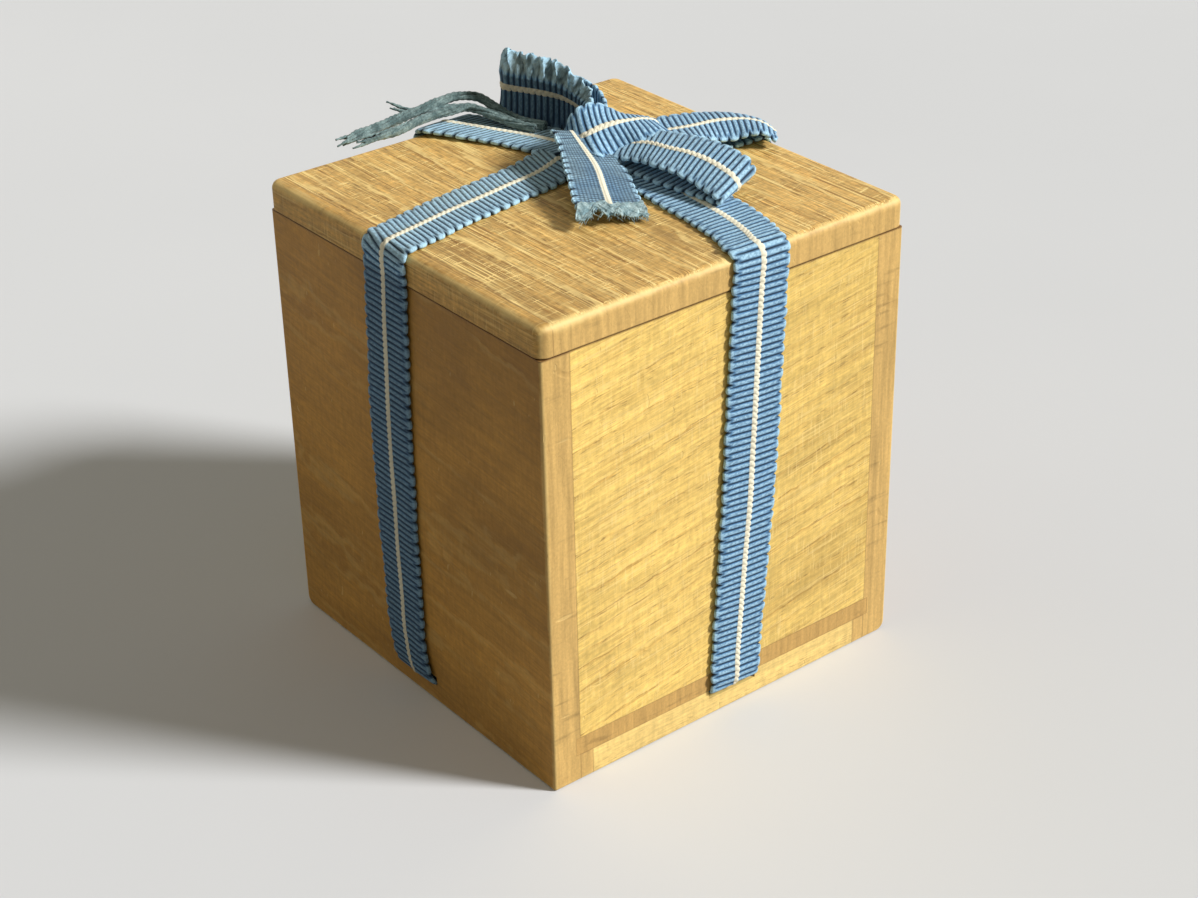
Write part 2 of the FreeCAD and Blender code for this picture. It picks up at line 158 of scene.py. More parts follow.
def closed_tube(rings, backwards=False):
    """Quads between rings of points, with a cap of quads at each end. backwards is for rings that
    run clockwise as seen along the path."""
    count, around = rings.shape[:2]
    grid = np.arange(count * around).reshape(count, around)
    after = np.roll(grid, -1, axis=1)
    sides = np.stack([grid[:-1], after[:-1], after[1:], grid[1:]], axis=-1).reshape(-1, 4)
    k = np.arange(around // 2 - 1)
    start = np.stack([k, around - 1 - k, around - 2 - k, k + 1], axis=-1)
    end = start[:, ::-1]
    if backwards:
        sides, start, end = sides[:, [0, 3, 2, 1]], end, start
    return np.concatenate([sides, start, end + grid[-1, 0]])


def wave_noise(x, seed, octaves=3):
    """Smooth repeatable noise in -1 to 1: a sum of sines whose rates aren't multiples of each other."""
    total = np.zeros(np.shape(x))
    for step in range(octaves):
        rate = 1.0 + 1.618 * step + 0.37 * math.sin(seed + step)
        total = total + np.sin(x * rate + seed * (2.3 + step)) / (1 + 0.6 * step)
    return total / sum(1 / (1 + 0.6 * step) for step in range(octaves))


def smooth_rows(rows, count):
    """Cubic curve through rows of numbers: each span is a Hermite cubic whose end slopes are the
    mean slopes of the spans that meet there. Rows are spaced by the distance between their first
    three numbers."""
    rows = np.asarray(rows, float)
    gaps = np.maximum(np.linalg.norm(np.diff(rows[:, :3], axis=0), axis=1), 1e-6)
    knots = np.concatenate([[0], np.cumsum(gaps)])
    slopes = np.diff(rows, axis=0) / gaps[:, None]
    inner = (slopes[:-1] * gaps[1:, None] + slopes[1:] * gaps[:-1, None]) / (gaps[:-1] + gaps[1:])[:, None]
    ends = np.vstack([slopes[:1], inner, slopes[-1:]])
    t = np.linspace(0, knots[-1], count)
    i = np.clip(np.searchsorted(knots, t, side="right") - 1, 0, len(gaps) - 1)
    h = gaps[i][:, None]
    f = ((t - knots[i]) / gaps[i])[:, None]
    return (
        rows[i] * (2 * f**3 - 3 * f**2 + 1) + rows[i + 1] * (3 * f**2 - 2 * f**3)
        + ends[i] * h * (f**3 - 2 * f**2 + f) + ends[i + 1] * h * (f**3 - f**2)
    )


def distances(rows):
    """How far along the path each row is."""
    return np.concatenate([[0], np.cumsum(np.linalg.norm(np.diff(rows[:, :3], axis=0), axis=1))])


def evenly(rows, step):
    """The same curve with its rows a fixed distance apart along the first three numbers."""
    lengths = distances(rows)
    count = max(int(round(lengths[-1] / step)) + 1, 4)
    at = np.linspace(0, lengths[-1], count)
    return np.stack([np.interp(at, lengths, column) for column in rows.T], axis=1), at


def unit(v):
    return v / np.maximum(np.linalg.norm(v, axis=-1, keepdims=True), 1e-12)


def between(value, low, high):
    """0 at low, 1 at high, straight in between and level outside."""
    return np.clip((value - low) / (high - low), 0, 1)


# Tape

HALF_SECTION = np.array([0.035, 0.07, 0.1, 0.16, 0.26, 0.38, 0.5, 0.62, 0.74, 0.84, 0.91, 0.955, 0.985, 1.0])
SECTION = np.concatenate([-HALF_SECTION[::-1], [0.0], HALF_SECTION])
PATH_ROWS = 500
ROWS_PER_RIB = 8
CURL_FROM, CURL_TO = 0.4, 0.66  # shares of the half width between which the second edge is wound
LID_TURN = 106 * MM  # height at which the tape starts to turn over the lid's edge


def rib_profile(turns, sharp=0.62):
    """Row of round cords: 1 on each cord's crown and 0 in the groove, for a count of cords."""
    fraction = turns - np.floor(turns)
    return np.clip(1 - np.abs(2 * fraction - 1) ** 2.8, 0, 1) ** sharp


def two_sided(rows):
    """Rows of centre, direction to the first edge, direction to the second edge, share, curl and each
    half's skew, from rows that leave out the second direction, the curl or the skews."""
    rows = np.asarray(rows, float)
    if rows.shape[1] == 7:
        rows = np.hstack([rows[:, :6], -rows[:, 3:6], rows[:, 6:]])
    return np.hstack([rows, np.zeros((len(rows), 13 - rows.shape[1]))])


def roll_edge(flat, across, normal, ahead, a, s, half, curl, seed):
    """Wind the second edge of the tape's rows and crumple it.

    It goes round an arc from CURL_FROM to CURL_TO and straight on: at an angle t of the turn, the
    arc lifts a point by (1 - cos t) / t of its length and takes it in by 1 - (sin t) / t of it. Waves
    then move the rolled part along the normal, across and ahead. Gives the points, the way out to
    the second edge, the normals, how far each point is rolled and the waves.
    """
    turn = between(-a, CURL_FROM, CURL_TO)
    rolled = np.abs(curl * turn)
    angle = np.where(rolled < 1e-4, 1e-4, curl * turn)
    arc = (CURL_TO - CURL_FROM) * half * turn
    tail = np.clip(-a - CURL_TO, 0, None) * half
    slant = 2.4 * a + 1.5 * wave_noise(s / (2.2 * MM) + 4 * a, seed + 17, 2)
    puffs = 0.6 * wave_noise(s / (1.0 * MM) + slant, seed + 4, 2)
    puffs = puffs + 0.6 * wave_noise(s / (0.45 * MM) + 6 * a, seed + 2, 2)
    puffs = puffs + 0.3 * wave_noise(s / (0.3 * MM) - 9 * a, seed + 9, 2)
    crumple = rolled * MM
    lift = arc * (1 - np.cos(angle)) / angle + tail * np.sin(angle) + 0.8 * crumple * puffs
    slide = arc * (np.sin(angle) / angle - 1) + tail * (np.cos(angle) - 1) + 0.75 * crumple * turn * puffs
    shove = 0.7 * crumple * turn * wave_noise(s / (0.6 * MM) + 4 * a, seed + 13, 2)
    flat = flat - across * slide[..., None] + normal * lift[..., None] + ahead[:, None] * shove[..., None]
    c, d = np.cos(angle)[..., None], np.sin(angle)[..., None]
    return flat, normal * d - across * c, normal * c + across * d, rolled, puffs


def fray_ends(flat, ahead, along, a, frays, seed):
    """Push both cut ends out by a ragged line times their fray, less and less within 2.5 frays."""
    ragged = 0.6 * wave_noise(a * 7, seed + 11) + 0.4 * wave_noise(a * 31, seed + 3)
    for to_end, fray, way in ((along - along[0], frays[0], -1), (along[-1] - along, frays[1], 1)):
        if fray:
            reach = way * fray * np.clip(1 - to_end / (2.5 * fray), 0, 1)[:, None]
            flat = flat + ahead[:, None] * (reach * ragged)[..., None]
    return flat


def both_faces(top, low):
    """Values on the upper face from edge to edge, and on the lower face back again."""
    return np.concatenate([top, low[:, ::-1]], axis=1)


def tape_band(name, rows, seed, keep=slice(None), weave="ribbed", frays=(0.0, 0.0), fadeshade=(0.4, 0.4)):
    """A length of tape along a path. Each row is a centre, the direction to one edge or to both,
    the share of the full width, how far the second edge curls, in radians, and by how many cords
    each half's cords lean ahead at its edge.

    A point at share a of the half width, from -1 to 1, lies at centre + half width * (a * (first -
    second) / 2 + a squared * (first + second) / 2), which passes through both edges. Where the row
    curls, roll_edge winds the second edge. On top of that come half the tape's thickness, rounded
    off at both edges, the cords' profile along the length, the middle yarn and the edge loops. keep
    is the stretch of the path's rows that is made, and frays roughen the cut ends. The last argument
    is the dye's wear on the walls and on the lid, or on a loop's first limb, its second limb and its
    curled edge. Under 0 it darkens the tape, which is painted shade on the front wall and on the left
    loop's first limb. On the left loop's curled edge it is a painted highlight.
    """
    tape = bpy.context.scene.caddy_tape
    square = np.shape(rows)[1] == 7
    rows, along = evenly(smooth_rows(two_sided(rows), PATH_ROWS), tape.rib_pitch / ROWS_PER_RIB)
    ahead = unit(np.gradient(rows[:, :3], axis=0))
    rows, along, ahead = rows[keep], along[keep], ahead[keep]
    centre, share, curl = rows[:, None, :3], rows[:, 9:10], rows[:, 10:11]
    edges = [rows[:, k:k + 3] for k in (3, 6)]
    if square:
        edges = [edge - ahead * (edge * ahead).sum(1, keepdims=True) for edge in edges]
    first_edge, second_edge = (unit(edge)[:, None] for edge in edges)
    s = along[:, None]
    a = SECTION[None, :]
    side = np.sign(a)
    half = tape.width / 2 * share
    straight, hollow = (first_edge - second_edge) / 2, (first_edge + second_edge) / 2
    flat = centre + half[..., None] * (straight * a[..., None] + hollow * (a ** 2)[..., None])
    across = unit(straight + 2 * hollow * a[..., None])
    normal = unit(np.cross(np.broadcast_to(ahead[:, None], across.shape), across))
    flat, out, normal, rolled, puffs = roll_edge(flat, across, normal, ahead, a, s, half, curl, seed)
    outwards = np.where(side[..., None] < 0, out, across)
    # cords across, edge loops and the middle yarn
    wander = 0.14 * wave_noise(s / (9 * MM) + 2 * side, seed) + 0.05 * wave_noise(s / (2.5 * MM), seed + 5)
    skew = np.where(a < 0, 0.5 - rows[:, 12:13] * a, -rows[:, 11:12] * a)
    turns = s / tape.rib_pitch + skew + wander
    loops = rib_profile(turns / 2 + 0.25 * side + 0.12 * wave_noise(s / (3.3 * MM) + side, seed + 6), 0.7)
    swell = 0.75 + 0.5 * wave_noise(s / (2.3 * MM) + 3 * side, seed + 7)
    swell = swell * (1 - 0.45 * np.clip(rolled, 0, 1))
    near_edge = between(np.abs(a), 0.8, 1.0)
    flat = flat + outwards * (near_edge * (loops - 0.5) * tape.scallop_depth * swell)[..., None]
    yarn = np.exp(-((a * half * 2 / tape.stripe_width) ** 4))
    cords = rib_profile(turns)
    if weave == "fine":
        cords = 0.6 + 0.3 * (rib_profile(s / (0.8 * MM) + wander) - 0.5)
    back_cords = rib_profile(turns + 0.5)
    flattened = (1 - 0.8 * near_edge) * (1 - 0.8 * np.clip(rolled, 0, 1))
    face = (cords - 0.6) * tape.rib_height * (1 - 0.6 * yarn) * flattened + yarn * (0.1 + 0.22 * cords) * MM
    back = (back_cords - 0.6) * tape.rib_height * 0.6 * (1 - 0.75 * yarn)
    round_off = np.sqrt(np.clip(1 - np.abs(a) ** 12, 0.01, 1))
    edge_bead = near_edge * (loops - 0.35) * 0.32 * MM
    ripple = 0.12 * MM * wave_noise(s / (14 * MM) + 1.3 * a, seed + 1)
    thick = TAPE_THICKNESS * 0.42
    upper = round_off * (thick + face) + edge_bead + ripple
    lower = -round_off * (thick + back) - edge_bead + ripple
    flat = fray_ends(flat, ahead, along, a, frays, seed)
    ring = both_faces(flat + normal * upper[..., None], flat + normal * lower[..., None])
    u = np.broadcast_to(a * tape.width / 2, upper.shape)
    v = np.broadcast_to(s, ring.shape[:2])
    piece = mesh_object(name, ring, closed_tube(ring, backwards=True), np.stack([both_faces(u, u), v], -1))
    mark = cords * (1 - near_edge) + loops * near_edge
    # On the curled edge the cords are marked near their crowns all over, so it takes the pale crown colour:
    # painted highlight.
    mark = mark + (0.88 + 0.3 * puffs - mark) * np.clip(rolled, 0, 0.85)
    mark_points(piece, "cord", both_faces(mark, back_cords * (1 - near_edge) + loops * near_edge))
    # Dye wear for each part. Under 0 the tape is darkened: painted shade on the front wall and on the left
    # loop's first limb.
    if len(fadeshade) == 2:
        second = between(ring[..., 2], LID_TURN, LID_TURN + 7 * MM)
    else:
        second = between((v - along[0]) / (along[-1] - along[0]), 0.46, 0.56)
    worn = fadeshade[0] * (1 - second) + fadeshade[1] * second
    # The curled edge takes the last value, the palest on the left loop: painted highlight.
    rim = np.clip(rolled * 1.6, 0, 1)
    rim = both_faces(rim, rim)
    mark_points(piece, "fadeshade", worn * (1 - rim) + fadeshade[-1] * rim)
    weave_on(piece, weave)
    return piece, float(along[-1] - along[0])


def mark_points(piece, name, values):
    """Keep a value at each point for the shaders: "cord" is how high it stands on its cord, from 0 in
    a groove to 1 on a crown, and the other how worn the dye is. Under 0 it darkens the tape, as painted shade
    on the front wall and the left loop."""
    layer = piece.data.attributes.new(name, "FLOAT", "POINT")
    layer.data.foreach_set("value", np.asarray(values, np.float32).ravel())


def weave_on(piece, weave):
    piece.data.materials.append(tape_material(weave))


def turned(rows, degrees):
    """Rows of centre, across direction and width share, turned about the upright middle line."""
    c, s = math.cos(math.radians(degrees)), math.sin(math.radians(degrees))
    turn = np.array([[c, s, 0], [-s, c, 0], [0, 0, 1]])
    rows = np.asarray(rows, float)
    return np.hstack([rows[:, :3] @ turn, rows[:, 3:6] @ turn, rows[:, 6:]])


SLOT_SHARE = 0.89  # of the tape's width, where a slot gathers it
SLOT_RUN = [44 * MM, 47.5 * MM]  # places in the slot, from the end of the run under the bottom
SLOT_BEND, LID_BEND = 1.2 * MM, 2.0 * MM
WALL_HEIGHTS = np.array([14, 25, 40, 55, 70, 85, 98, 106]) * MM


def arc_points(centre, radius, degrees):
    """Outward distances and heights of points on an arc."""
    angles = np.radians(degrees)
    return centre[0] + radius * np.cos(angles), centre[1] + radius * np.sin(angles)


def arm_path(level, foot_offset, side_offsets, lid_line, edge_lift):
    """Path of one arm, drawn as the right-hand one: out of its slot, up the wall, over the lid's
    edge and in towards the knot. side_offsets pairs heights with sideways places; lid_line pairs
    distances from the middle with sideways places and heights over the tape's bed."""
    foot_x, foot_z = arc_points((TAPE_FACE - SLOT_BEND, level + SLOT_BEND), SLOT_BEND, [-90, -60, -30, 0])
    bend = LID_BEND + edge_lift
    top_x, top_z = arc_points((TAPE_FACE - bend, TAPE_ON_LID + edge_lift - bend), bend, [0, 22, 45, 67, 90])
    wall_x = np.full(len(WALL_HEIGHTS), TAPE_FACE)
    lid_x, lid_y, lid_z = np.transpose(lid_line) * MM
    up = np.concatenate([[level, level], foot_z, WALL_HEIGHTS, top_z])
    heights, places = np.transpose(side_offsets) * MM
    side = np.interp(up, heights, places)
    side[:3] = foot_offset
    out = np.concatenate([SLOT_RUN, foot_x, wall_x, top_x, lid_x])
    up = np.concatenate([up, TAPE_ON_LID + lid_z])
    side = np.concatenate([side, lid_y])
    across = np.tile([0.0, -1.0, 0.0], (len(out), 1))
    share = np.interp(np.arange(len(out)), [0, 5, 8, 9], [SLOT_SHARE, 0.9, 0.98, 1.0])
    return np.hstack([np.stack([out, side, up], axis=1), across, share[:, None]])


def with_skews(rows, on_wall, on_lid):
    """Arm rows with the cords' skew added: the wall's pair up to the lid's edge, then the lid's."""
    rows = two_sided(rows)
    share = between(rows[:, 2:3], LID_TURN, LID_TURN + 6 * MM)
    rows[:, 11:] = np.array(on_wall) * (1 - share) + np.array(on_lid) * share
    return rows


def split_row(rows, height):
    """Number of the evenly spaced row, at a groove, where the path passes a height."""
    tape = bpy.context.scene.caddy_tape
    even, _ = evenly(smooth_rows(rows, PATH_ROWS), tape.rib_pitch / ROWS_PER_RIB)
    return int(np.argmax(even[:, 2] > height)) // ROWS_PER_RIB * ROWS_PER_RIB


ARMS = {
    # name: turn, slot height, slot place, dye's wear on wall and lid (under 0 darker, painted shade on
    # the front wall), skews on wall and lid, places up the wall, places on the lid, lift at the edge
    # (lengths in mm, apart from the slot height)
    "right": (0, LEVEL_ACROSS, 1.2, (-0.14, 0.3), ((0.57, 0.31), (0.2, 0.1)),
              [(6, 1.2), (14, 1.6), (55, 4.8), (107, 7.4), (113, 7.7)],
              [(44, 9.5, 0), (40, 10.7, 0), (28, 12.6, 0), (16, 13.6, 0.2), (4, 15.2, 0.8)], 0.2),
    "back": (90, LEVEL_ALONG, 1.3, (0.3, 0.3), ((0.3, 0.3), (0.3, 0.1)),
             [(5, 1.3), (40, 1.0), (80, 0.6), (107, 1.2), (113, 1.4)],
             [(44, 1.8, 0), (36, 2.6, 0), (26, 4.0, 0), (18.5, 5.5, 0.4)], 0.2),
    "left": (180, LEVEL_ACROSS, -1.2, (0.4, 0.95), ((0.2, 0.3), (0.3, 0.3)),
             [(6, -1.2), (50, 0.2), (107, 2.0), (113, 2.2)],
             [(45, -0.2, 0.6), (38, -4.0, 0.3), (30, -8.2, 0.2), (22, -10.6, 0.3), (16, -11.6, 0.8)], 0.9),
    # The front arm's wall value under 0 is painted shade.
    "front": (-90, LEVEL_ALONG, -1.3, (-0.68, 0.8), ((0.1, 0.1), (1.4, 0.5)),
              [(5, -1.3), (14, -4.0), (40, -4.9), (70, -4.8), (107, -2.9), (113, -2.8)],
              [(44, -4.0, 0), (31, -6.8, 0), (15, -9.4, 0), (2.5, -11.4, 0.2), (-4, -13, 1.0)], 0.1),
}
FOOT_TOP = 20 * MM
# Where an arm bends at its slot and where it bends over the lid's edge: outward places and heights
FOOT_HINGE = (TAPE_FACE, 6.5 * MM), (TAPE_FACE, 11.5 * MM)
LID_HINGE = (TAPE_FACE, 109.5 * MM), (TAPE_FACE - 3 * MM, 113.2 * MM)


def make_arm(name):
    """One arm of the tape: a short band that bends at its slot, and the long band above it."""
    turn, level, foot, fadeshade, skews, wall_places, lid_places, lift = ARMS[name]
    path = arm_path(level, foot * MM, wall_places, lid_places, lift * MM)
    rows = with_skews(turned(path, turn), *skews)
    seed = 1.7 * list(ARMS).index(name)
    cut = split_row(rows, FOOT_TOP)
    foot_piece, foot_length = tape_band(f"tape_{name}_foot", rows, seed, slice(0, cut + 1), fadeshade=fadeshade)
    piece, length = tape_band(f"tape_{name}_band", rows, seed, slice(cut, None), fadeshade=fadeshade)
    c, s = math.cos(math.radians(turn)), math.sin(math.radians(turn))

    def ends(hinge):
        return [(out * c, out * s, height) for out, height in hinge]

    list(ends(FOOT_HINGE))
    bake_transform(foot_piece)
    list(ends(LID_HINGE))
    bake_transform(piece)
    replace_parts(piece, f"tape_{name}_side", f"tape_{name}_top")


def make_under_run(node, level, sideways, turn, seed):
    """The straight run of tape under the bottom board between two slots."""
    rows = [(x * MM, sideways * MM, level, 0, -1, 0, SLOT_SHARE) for x in (-44, -20, 0, 20, 44)]
    piece, length = tape_band(node + "_band", turned(rows, turn), seed)
    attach(piece, "box")
    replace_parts(piece, node)


# Bow. Each row is x, y and height over the lid in millimetres, the direction to the first edge and,
# where the tape is bent across, to the second one, the share of the full width, and the second
# edge's curl in radians. A share under one is where the knot gathers the tape.

BOW = {
    # piece: node, held, weave, dye's wear per part (the left loop's first limb under 0 is painted shade, its
    # curled edge a painted highlight), frays, seed, rows
    "bow_wrap_band": ("bow_wrap", "folded", "ribbed", (-0.05, 0.1), (0, 0), 3.1, [
        (-11.5, 5, 3.6, -0.6, 0.26, 0.75, 0.8, -0.3, -0.5, 0.5),
        (-9.2, 5.6, 6.6, -0.66, 0.26, 0.7, 0.9, -0.31, -0.25, 0.75),
        (-6.9, 7.4, 8.3, -0.72, 0.28, 0.64, 0.9, -0.25, -0.35, 0.95),
        (-6.6, 10.2, 9, -0.76, 0.38, 0.5, 0.76, -0.05, -0.64, 1),
        (-6.2, 13.4, 9.3, -0.83, 0.5, 0.2, 0.74, 0.02, -0.66, 1),
        (-5.9, 17.8, 9, -0.86, 0.49, -0.14, 0.88, -0.24, -0.36, 1),
        (-6.1, 23, 8, -0.86, 0.43, -0.28, 0.96, -0.2, -0.14, 1),
        (-6.4, 26.2, 6.6, -0.77, 0.57, -0.3, 0.98, -0.1, -0.1, 1),
        (-6.8, 28.2, 3.6, -0.77, 0.57, -0.2, 0.98, -0.1, -0.1, 0.95),
    ]),
    "bow_right_loop_band": ("bow_right_loop", "folded", "ribbed", (0.4, 0.4), (0, 0), 5.3, [
        (-7, 12.6, 4.2, -0.58, 0.8, 0.05, 0.58, -0.8, -0.05, 0.7),
        (-2.2, 14.6, 5.4, -0.62, 0.79, 0.05, 0.58, -0.8, -0.1, 0.85),
        (2.9, 16.6, 6.6, -0.6, 0.8, 0.05, 0.54, -0.82, -0.18, 0.97),
        (9.2, 17.3, 7.1, -0.5, 0.86, 0.1, 0.48, -0.87, -0.15, 1),
        (15, 18.5, 7.4, -0.45, 0.88, 0.12, 0.41, -0.88, -0.22, 1),
        (19.8, 19.5, 7, -0.38, 0.91, 0.18, 0.33, -0.88, -0.3, 1),
        (24.4, 20, 6.2, -0.36, 0.92, 0.18, 0.28, -0.91, -0.3, 1),
        (27.5, 20.2, 5.2, -0.34, 0.92, 0.2, 0.28, -0.93, -0.22, 1),
        (28.7, 20.4, 4, -0.34, 0.92, 0.14, 0.3, -0.93, -0.16, 1),
        (27.8, 20.5, 2.8, -0.32, 0.94, 0.1, 0.32, -0.94, -0.1, 1),
        (25, 20.4, 2.2, -0.3, 0.95, 0.04, 0.3, -0.95, -0.04, 1),
        (18, 19.6, 1.9, -0.25, 0.96, 0, 0.25, -0.96, 0, 1),
        (10, 18.2, 1.9, -0.22, 0.97, 0, 0.22, -0.97, 0, 1),
        (2, 16.6, 2.2, -0.2, 0.97, 0, 0.2, -0.97, 0, 0.9),
        (-3, 14.5, 3, -0.2, 0.97, 0, 0.2, -0.97, 0, 0.7),
    ]),
    # Left loop: the first limb's value under 0 is painted shade, and the curled edge's 1.4 is a painted
    # highlight.
    "bow_left_loop_band": ("bow_left_loop", "folded", "ribbed", (-0.85, 0.0, 1.4), (0, 0), 7.9, [
        (-12, 14, 5, -0.4, 0.3, -0.87, 0.4, -0.3, 0.87, 0.45, 0),
        (-19, 17.5, 6.2, 0.1, -0.1, -0.98, 0.51, -0.28, 0.82, 0.6, -0.2),
        (-26.5, 19.4, 7.2, 0.1, -0.12, -0.98, 0.5, -0.36, 0.79, 0.85, -0.9),
        (-30.4, 18, 8.2, 0.12, -0.14, -0.98, 0.46, -0.4, 0.8, 1.05, -1),
        (-33.4, 15.5, 8.9, 0.14, -0.16, -0.97, 0.38, -0.34, 0.86, 1.12, -1.1),
        (-36.6, 13, 9.3, 0.14, -0.16, -0.97, 0.32, -0.3, 0.9, 1.12, -1.1),
        (-39.2, 11.1, 9.5, 0.14, -0.16, -0.97, 0.32, -0.26, 0.9, 1.12, -1.1),
        (-41.2, 9.9, 9.6, 0.1, -0.16, -0.98, 0.1, -0.16, 0.97, 1.15, -1.15),
        (-42.5, 10.2, 9.6, 0, -0.2, -0.98, -0.25, 0, 0.95, 1.18, -1.15),
        (-42.4, 11.5, 9.2, -0.05, -0.1, -0.99, -0.2, 0.1, 0.96, 1.1, -0.8),
        (-41, 13.2, 8.4, 0.05, -0.1, -0.99, -0.05, 0.1, 0.98, 0.95, -0.4),
        (-37.6, 16.2, 7.4, 0.1, -0.15, -0.98, -0.1, 0.15, 0.97, 0.85, 0),
        (-32.6, 20, 6.6, 0.1, -0.15, -0.98, -0.1, 0.15, 0.97, 0.78, 0),
        (-26, 22.8, 6, 0.1, -0.15, -0.98, -0.1, 0.15, 0.97, 0.7, 0),
        (-19, 21.4, 5.6, 0.1, -0.15, -0.98, -0.1, 0.15, 0.97, 0.55, 0),
        (-13, 17, 5.2, 0.1, -0.2, -0.97, -0.1, 0.2, 0.97, 0.45, 0),
    ]),
    "bow_front_tail_band": ("bow_front_tail", "laid", "fine", (0.6, 0.6), (0, 1.5), 2.2, [
        (-13.5, 8, 6.6, 0, 0.97, -0.24, 0.5),
        (-9.4, 4.9, 8.2, 0.06, 0.97, -0.24, 0.6),
        (-4.9, 4.1, 6.6, 0.11, 0.98, -0.19, 0.77),
        (1.6, 2.3, 5, 0.27, 0.94, -0.21, 0.94),
        (11.8, -3, 3.4, 0.4, 0.88, -0.2, 1),
        (18.4, -6.5, 2.4, 0.36, 0.92, -0.12, 1),
    ]),
    "bow_back_tail_band": ("bow_back_tail", "laid", "ribbed", (0.1, 0.15), (0, 0.8), 9.4, [
        (-6, 19, 4.4, -0.9, 0.42, 0.05, 0.9, -0.42, 0, 0.8),
        (-3.6, 24.5, 5.2, -0.9, 0.42, 0.07, 0.9, -0.42, 0.06, 0.93),
        (-1.5, 29.8, 5.4, -0.9, 0.42, 0.05, 0.9, -0.42, 0.08, 1),
        (-1, 34.3, 5.1, -0.9, 0.43, 0.01, 0.89, -0.45, -0.02, 1),
        (-0.7, 39.2, 4.8, -0.89, 0.45, -0.08, 0.87, -0.43, -0.2, 1),
        (0.6, 43.4, 4.5, -0.86, 0.47, -0.14, 0.84, -0.5, -0.18, 1),
        (2.4, 46.8, 4.1, -0.8, 0.54, -0.22, 0.82, -0.56, -0.02, 1),
        (4.5, 49.4, 3.2, -0.76, 0.6, -0.26, 0.78, -0.6, 0.1, 1),
        (6, 51.6, 1.2, -0.76, 0.6, -0.26, 0.78, -0.6, 0.1, 1),
    ]),
}


def bow_rows(rows):
    """Rows in metres from the bed of the lid."""
    rows = np.array(rows, float)
    rows[:, :3] *= MM
    rows[:, 2] += LID_TOP
    return rows


def make_bow_band(name):
    node, held, weave, fadeshade, frays, seed, rows = BOW[name]
    frays = [fray * MM for fray in frays]
    piece, length = tape_band(name, bow_rows(rows), seed, weave=weave, frays=frays, fadeshade=fadeshade)
    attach(piece, "lid")
    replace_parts(piece, node)


def make_core():
    """Squeezed middle of the knot: a lumpy rounded block, blunt at both ends and folded along.

    The radius round the middle line is a superellipse, |cos|^n + |sin|^n = 1, times a swell that
    falls off at both ends and is creased by seven folds.
    """
    low, high = (np.array(corner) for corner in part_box("bow_core"))
    t = np.linspace(-1, 1, 60)[:, None]
    angle = np.linspace(0, 2 * np.pi, 64, endpoint=False)[None, :]
    c, s = np.cos(angle), np.sin(angle)
    power = 2.8
    radius = (np.abs(c) ** power + np.abs(s) ** power) ** (-1 / power)
    swell = np.sqrt(np.clip(1 - np.abs(t) ** 4, 0, 1)) * 0.98 + 0.02
    crease = 1 - 0.09 * rib_profile(angle / (2 * np.pi) * 7 + 0.6 * t) * swell
    middle, size = (low + high) / 2, (high - low) / 2 * [1, 0.8, 0.8]
    middle[2] -= 0.15 * (high[2] - low[2])
    x = middle[0] + size[0] * t + 0 * angle
    y = middle[1] + size[1] * radius * c * swell * crease
    z = middle[2] + size[2] * radius * s * swell * crease
    rings = np.stack([x, y, z], axis=-1)
    uv = np.stack([np.broadcast_to(angle * 3 * MM, x.shape), x - middle[0]], axis=-1)
    piece = mesh_object("bow_core_bundle", rings, closed_tube(rings), uv)
    mark_points(piece, "cord", rib_profile(x / bpy.context.scene.caddy_tape.rib_pitch))
    mark_points(piece, "fadeshade", 0 * x)
    weave_on(piece, "ribbed")
    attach(piece, "lid")
    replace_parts(piece, "bow_core")


STRANDS = [
    # yarns, bundle's radius, then x, y and height over the lid, all in millimetres
    (8, 0.8, [(-30, 13, 2.2), (-36, 10.6, 2.3), (-42.2, 8.2, 4.2), (-46.6, 5.5, 6.4), (-48.8, 1.2, 7),
              (-49.6, -2.6, 6.6), (-49.4, -7.6, 6), (-50, -12.4, 5.4), (-49.4, -19.5, 4.9), (-49.2, -27, 4.4),
              (-48.4, -33, 4.2)]),
    (7, 0.74, [(-30, 10, 2.2), (-36.5, 7.4, 2.6), (-42, 4.2, 4.4), (-45.3, 1.9, 5.2), (-46.2, -1.3, 5.1),
               (-47.1, -5, 4.8), (-47.3, -10.4, 4.4), (-46.4, -17.9, 4),
               (-46.9, -24.1, 3.8), (-46.6, -30.8, 3.6)]),
    (4, 0.5, [(-34, 8.8, 2.6), (-40, 7, 3.5), (-45, 4, 4.4), (-48.2, -1, 5), (-49.4, -6.5, 5.2),
              (-50.3, -10.5, 5.8), (-51.6, -13, 6.9), (-53.4, -15, 7.8), (-55, -16, 8)]),
]

STRAND_COLOURS = (0.1, 0.165, 0.17), (0.3, 0.42, 0.42)
FRINGE_COLOURS = (0.2, 0.32, 0.36), (0.52, 0.68, 0.7)
YARN_RADIUS = 0.42 * MM
YARN_TWIST = 1.5 * MM


def round_path(path, up=(0.0, 0.0, 1.0)):
    """Two directions at right angles to each point's way ahead and to each other."""
    ahead = unit(np.gradient(path, axis=0))
    side = unit(np.cross(ahead, up))
    return side, np.cross(side, ahead)


def yarn_rings(path, radius, phase, around=7):
    """Soft two-ply yarn: rings of points centre + radius * (side * cos + normal * sin). The radius
    swells twice a turn, the swell winds along the yarn, and the end tapers."""
    along = distances(path)
    side, normal = (way[:, None] for way in round_path(path, (0.13, 0.07, 1.0)))
    angles = np.linspace(0, 2 * np.pi, around, endpoint=False)
    taper = np.clip((along[-1] - along) / (3 * MM), 0.3, 1) ** 0.6
    swell = 1 + 0.16 * np.cos(2 * angles - 2 * np.pi * along[:, None] / YARN_TWIST + phase)
    c, s = np.cos(angles)[:, None], np.sin(angles)[:, None]
    return path[:, None] + (radius * taper[:, None] * swell)[..., None] * (side * c + normal * s)


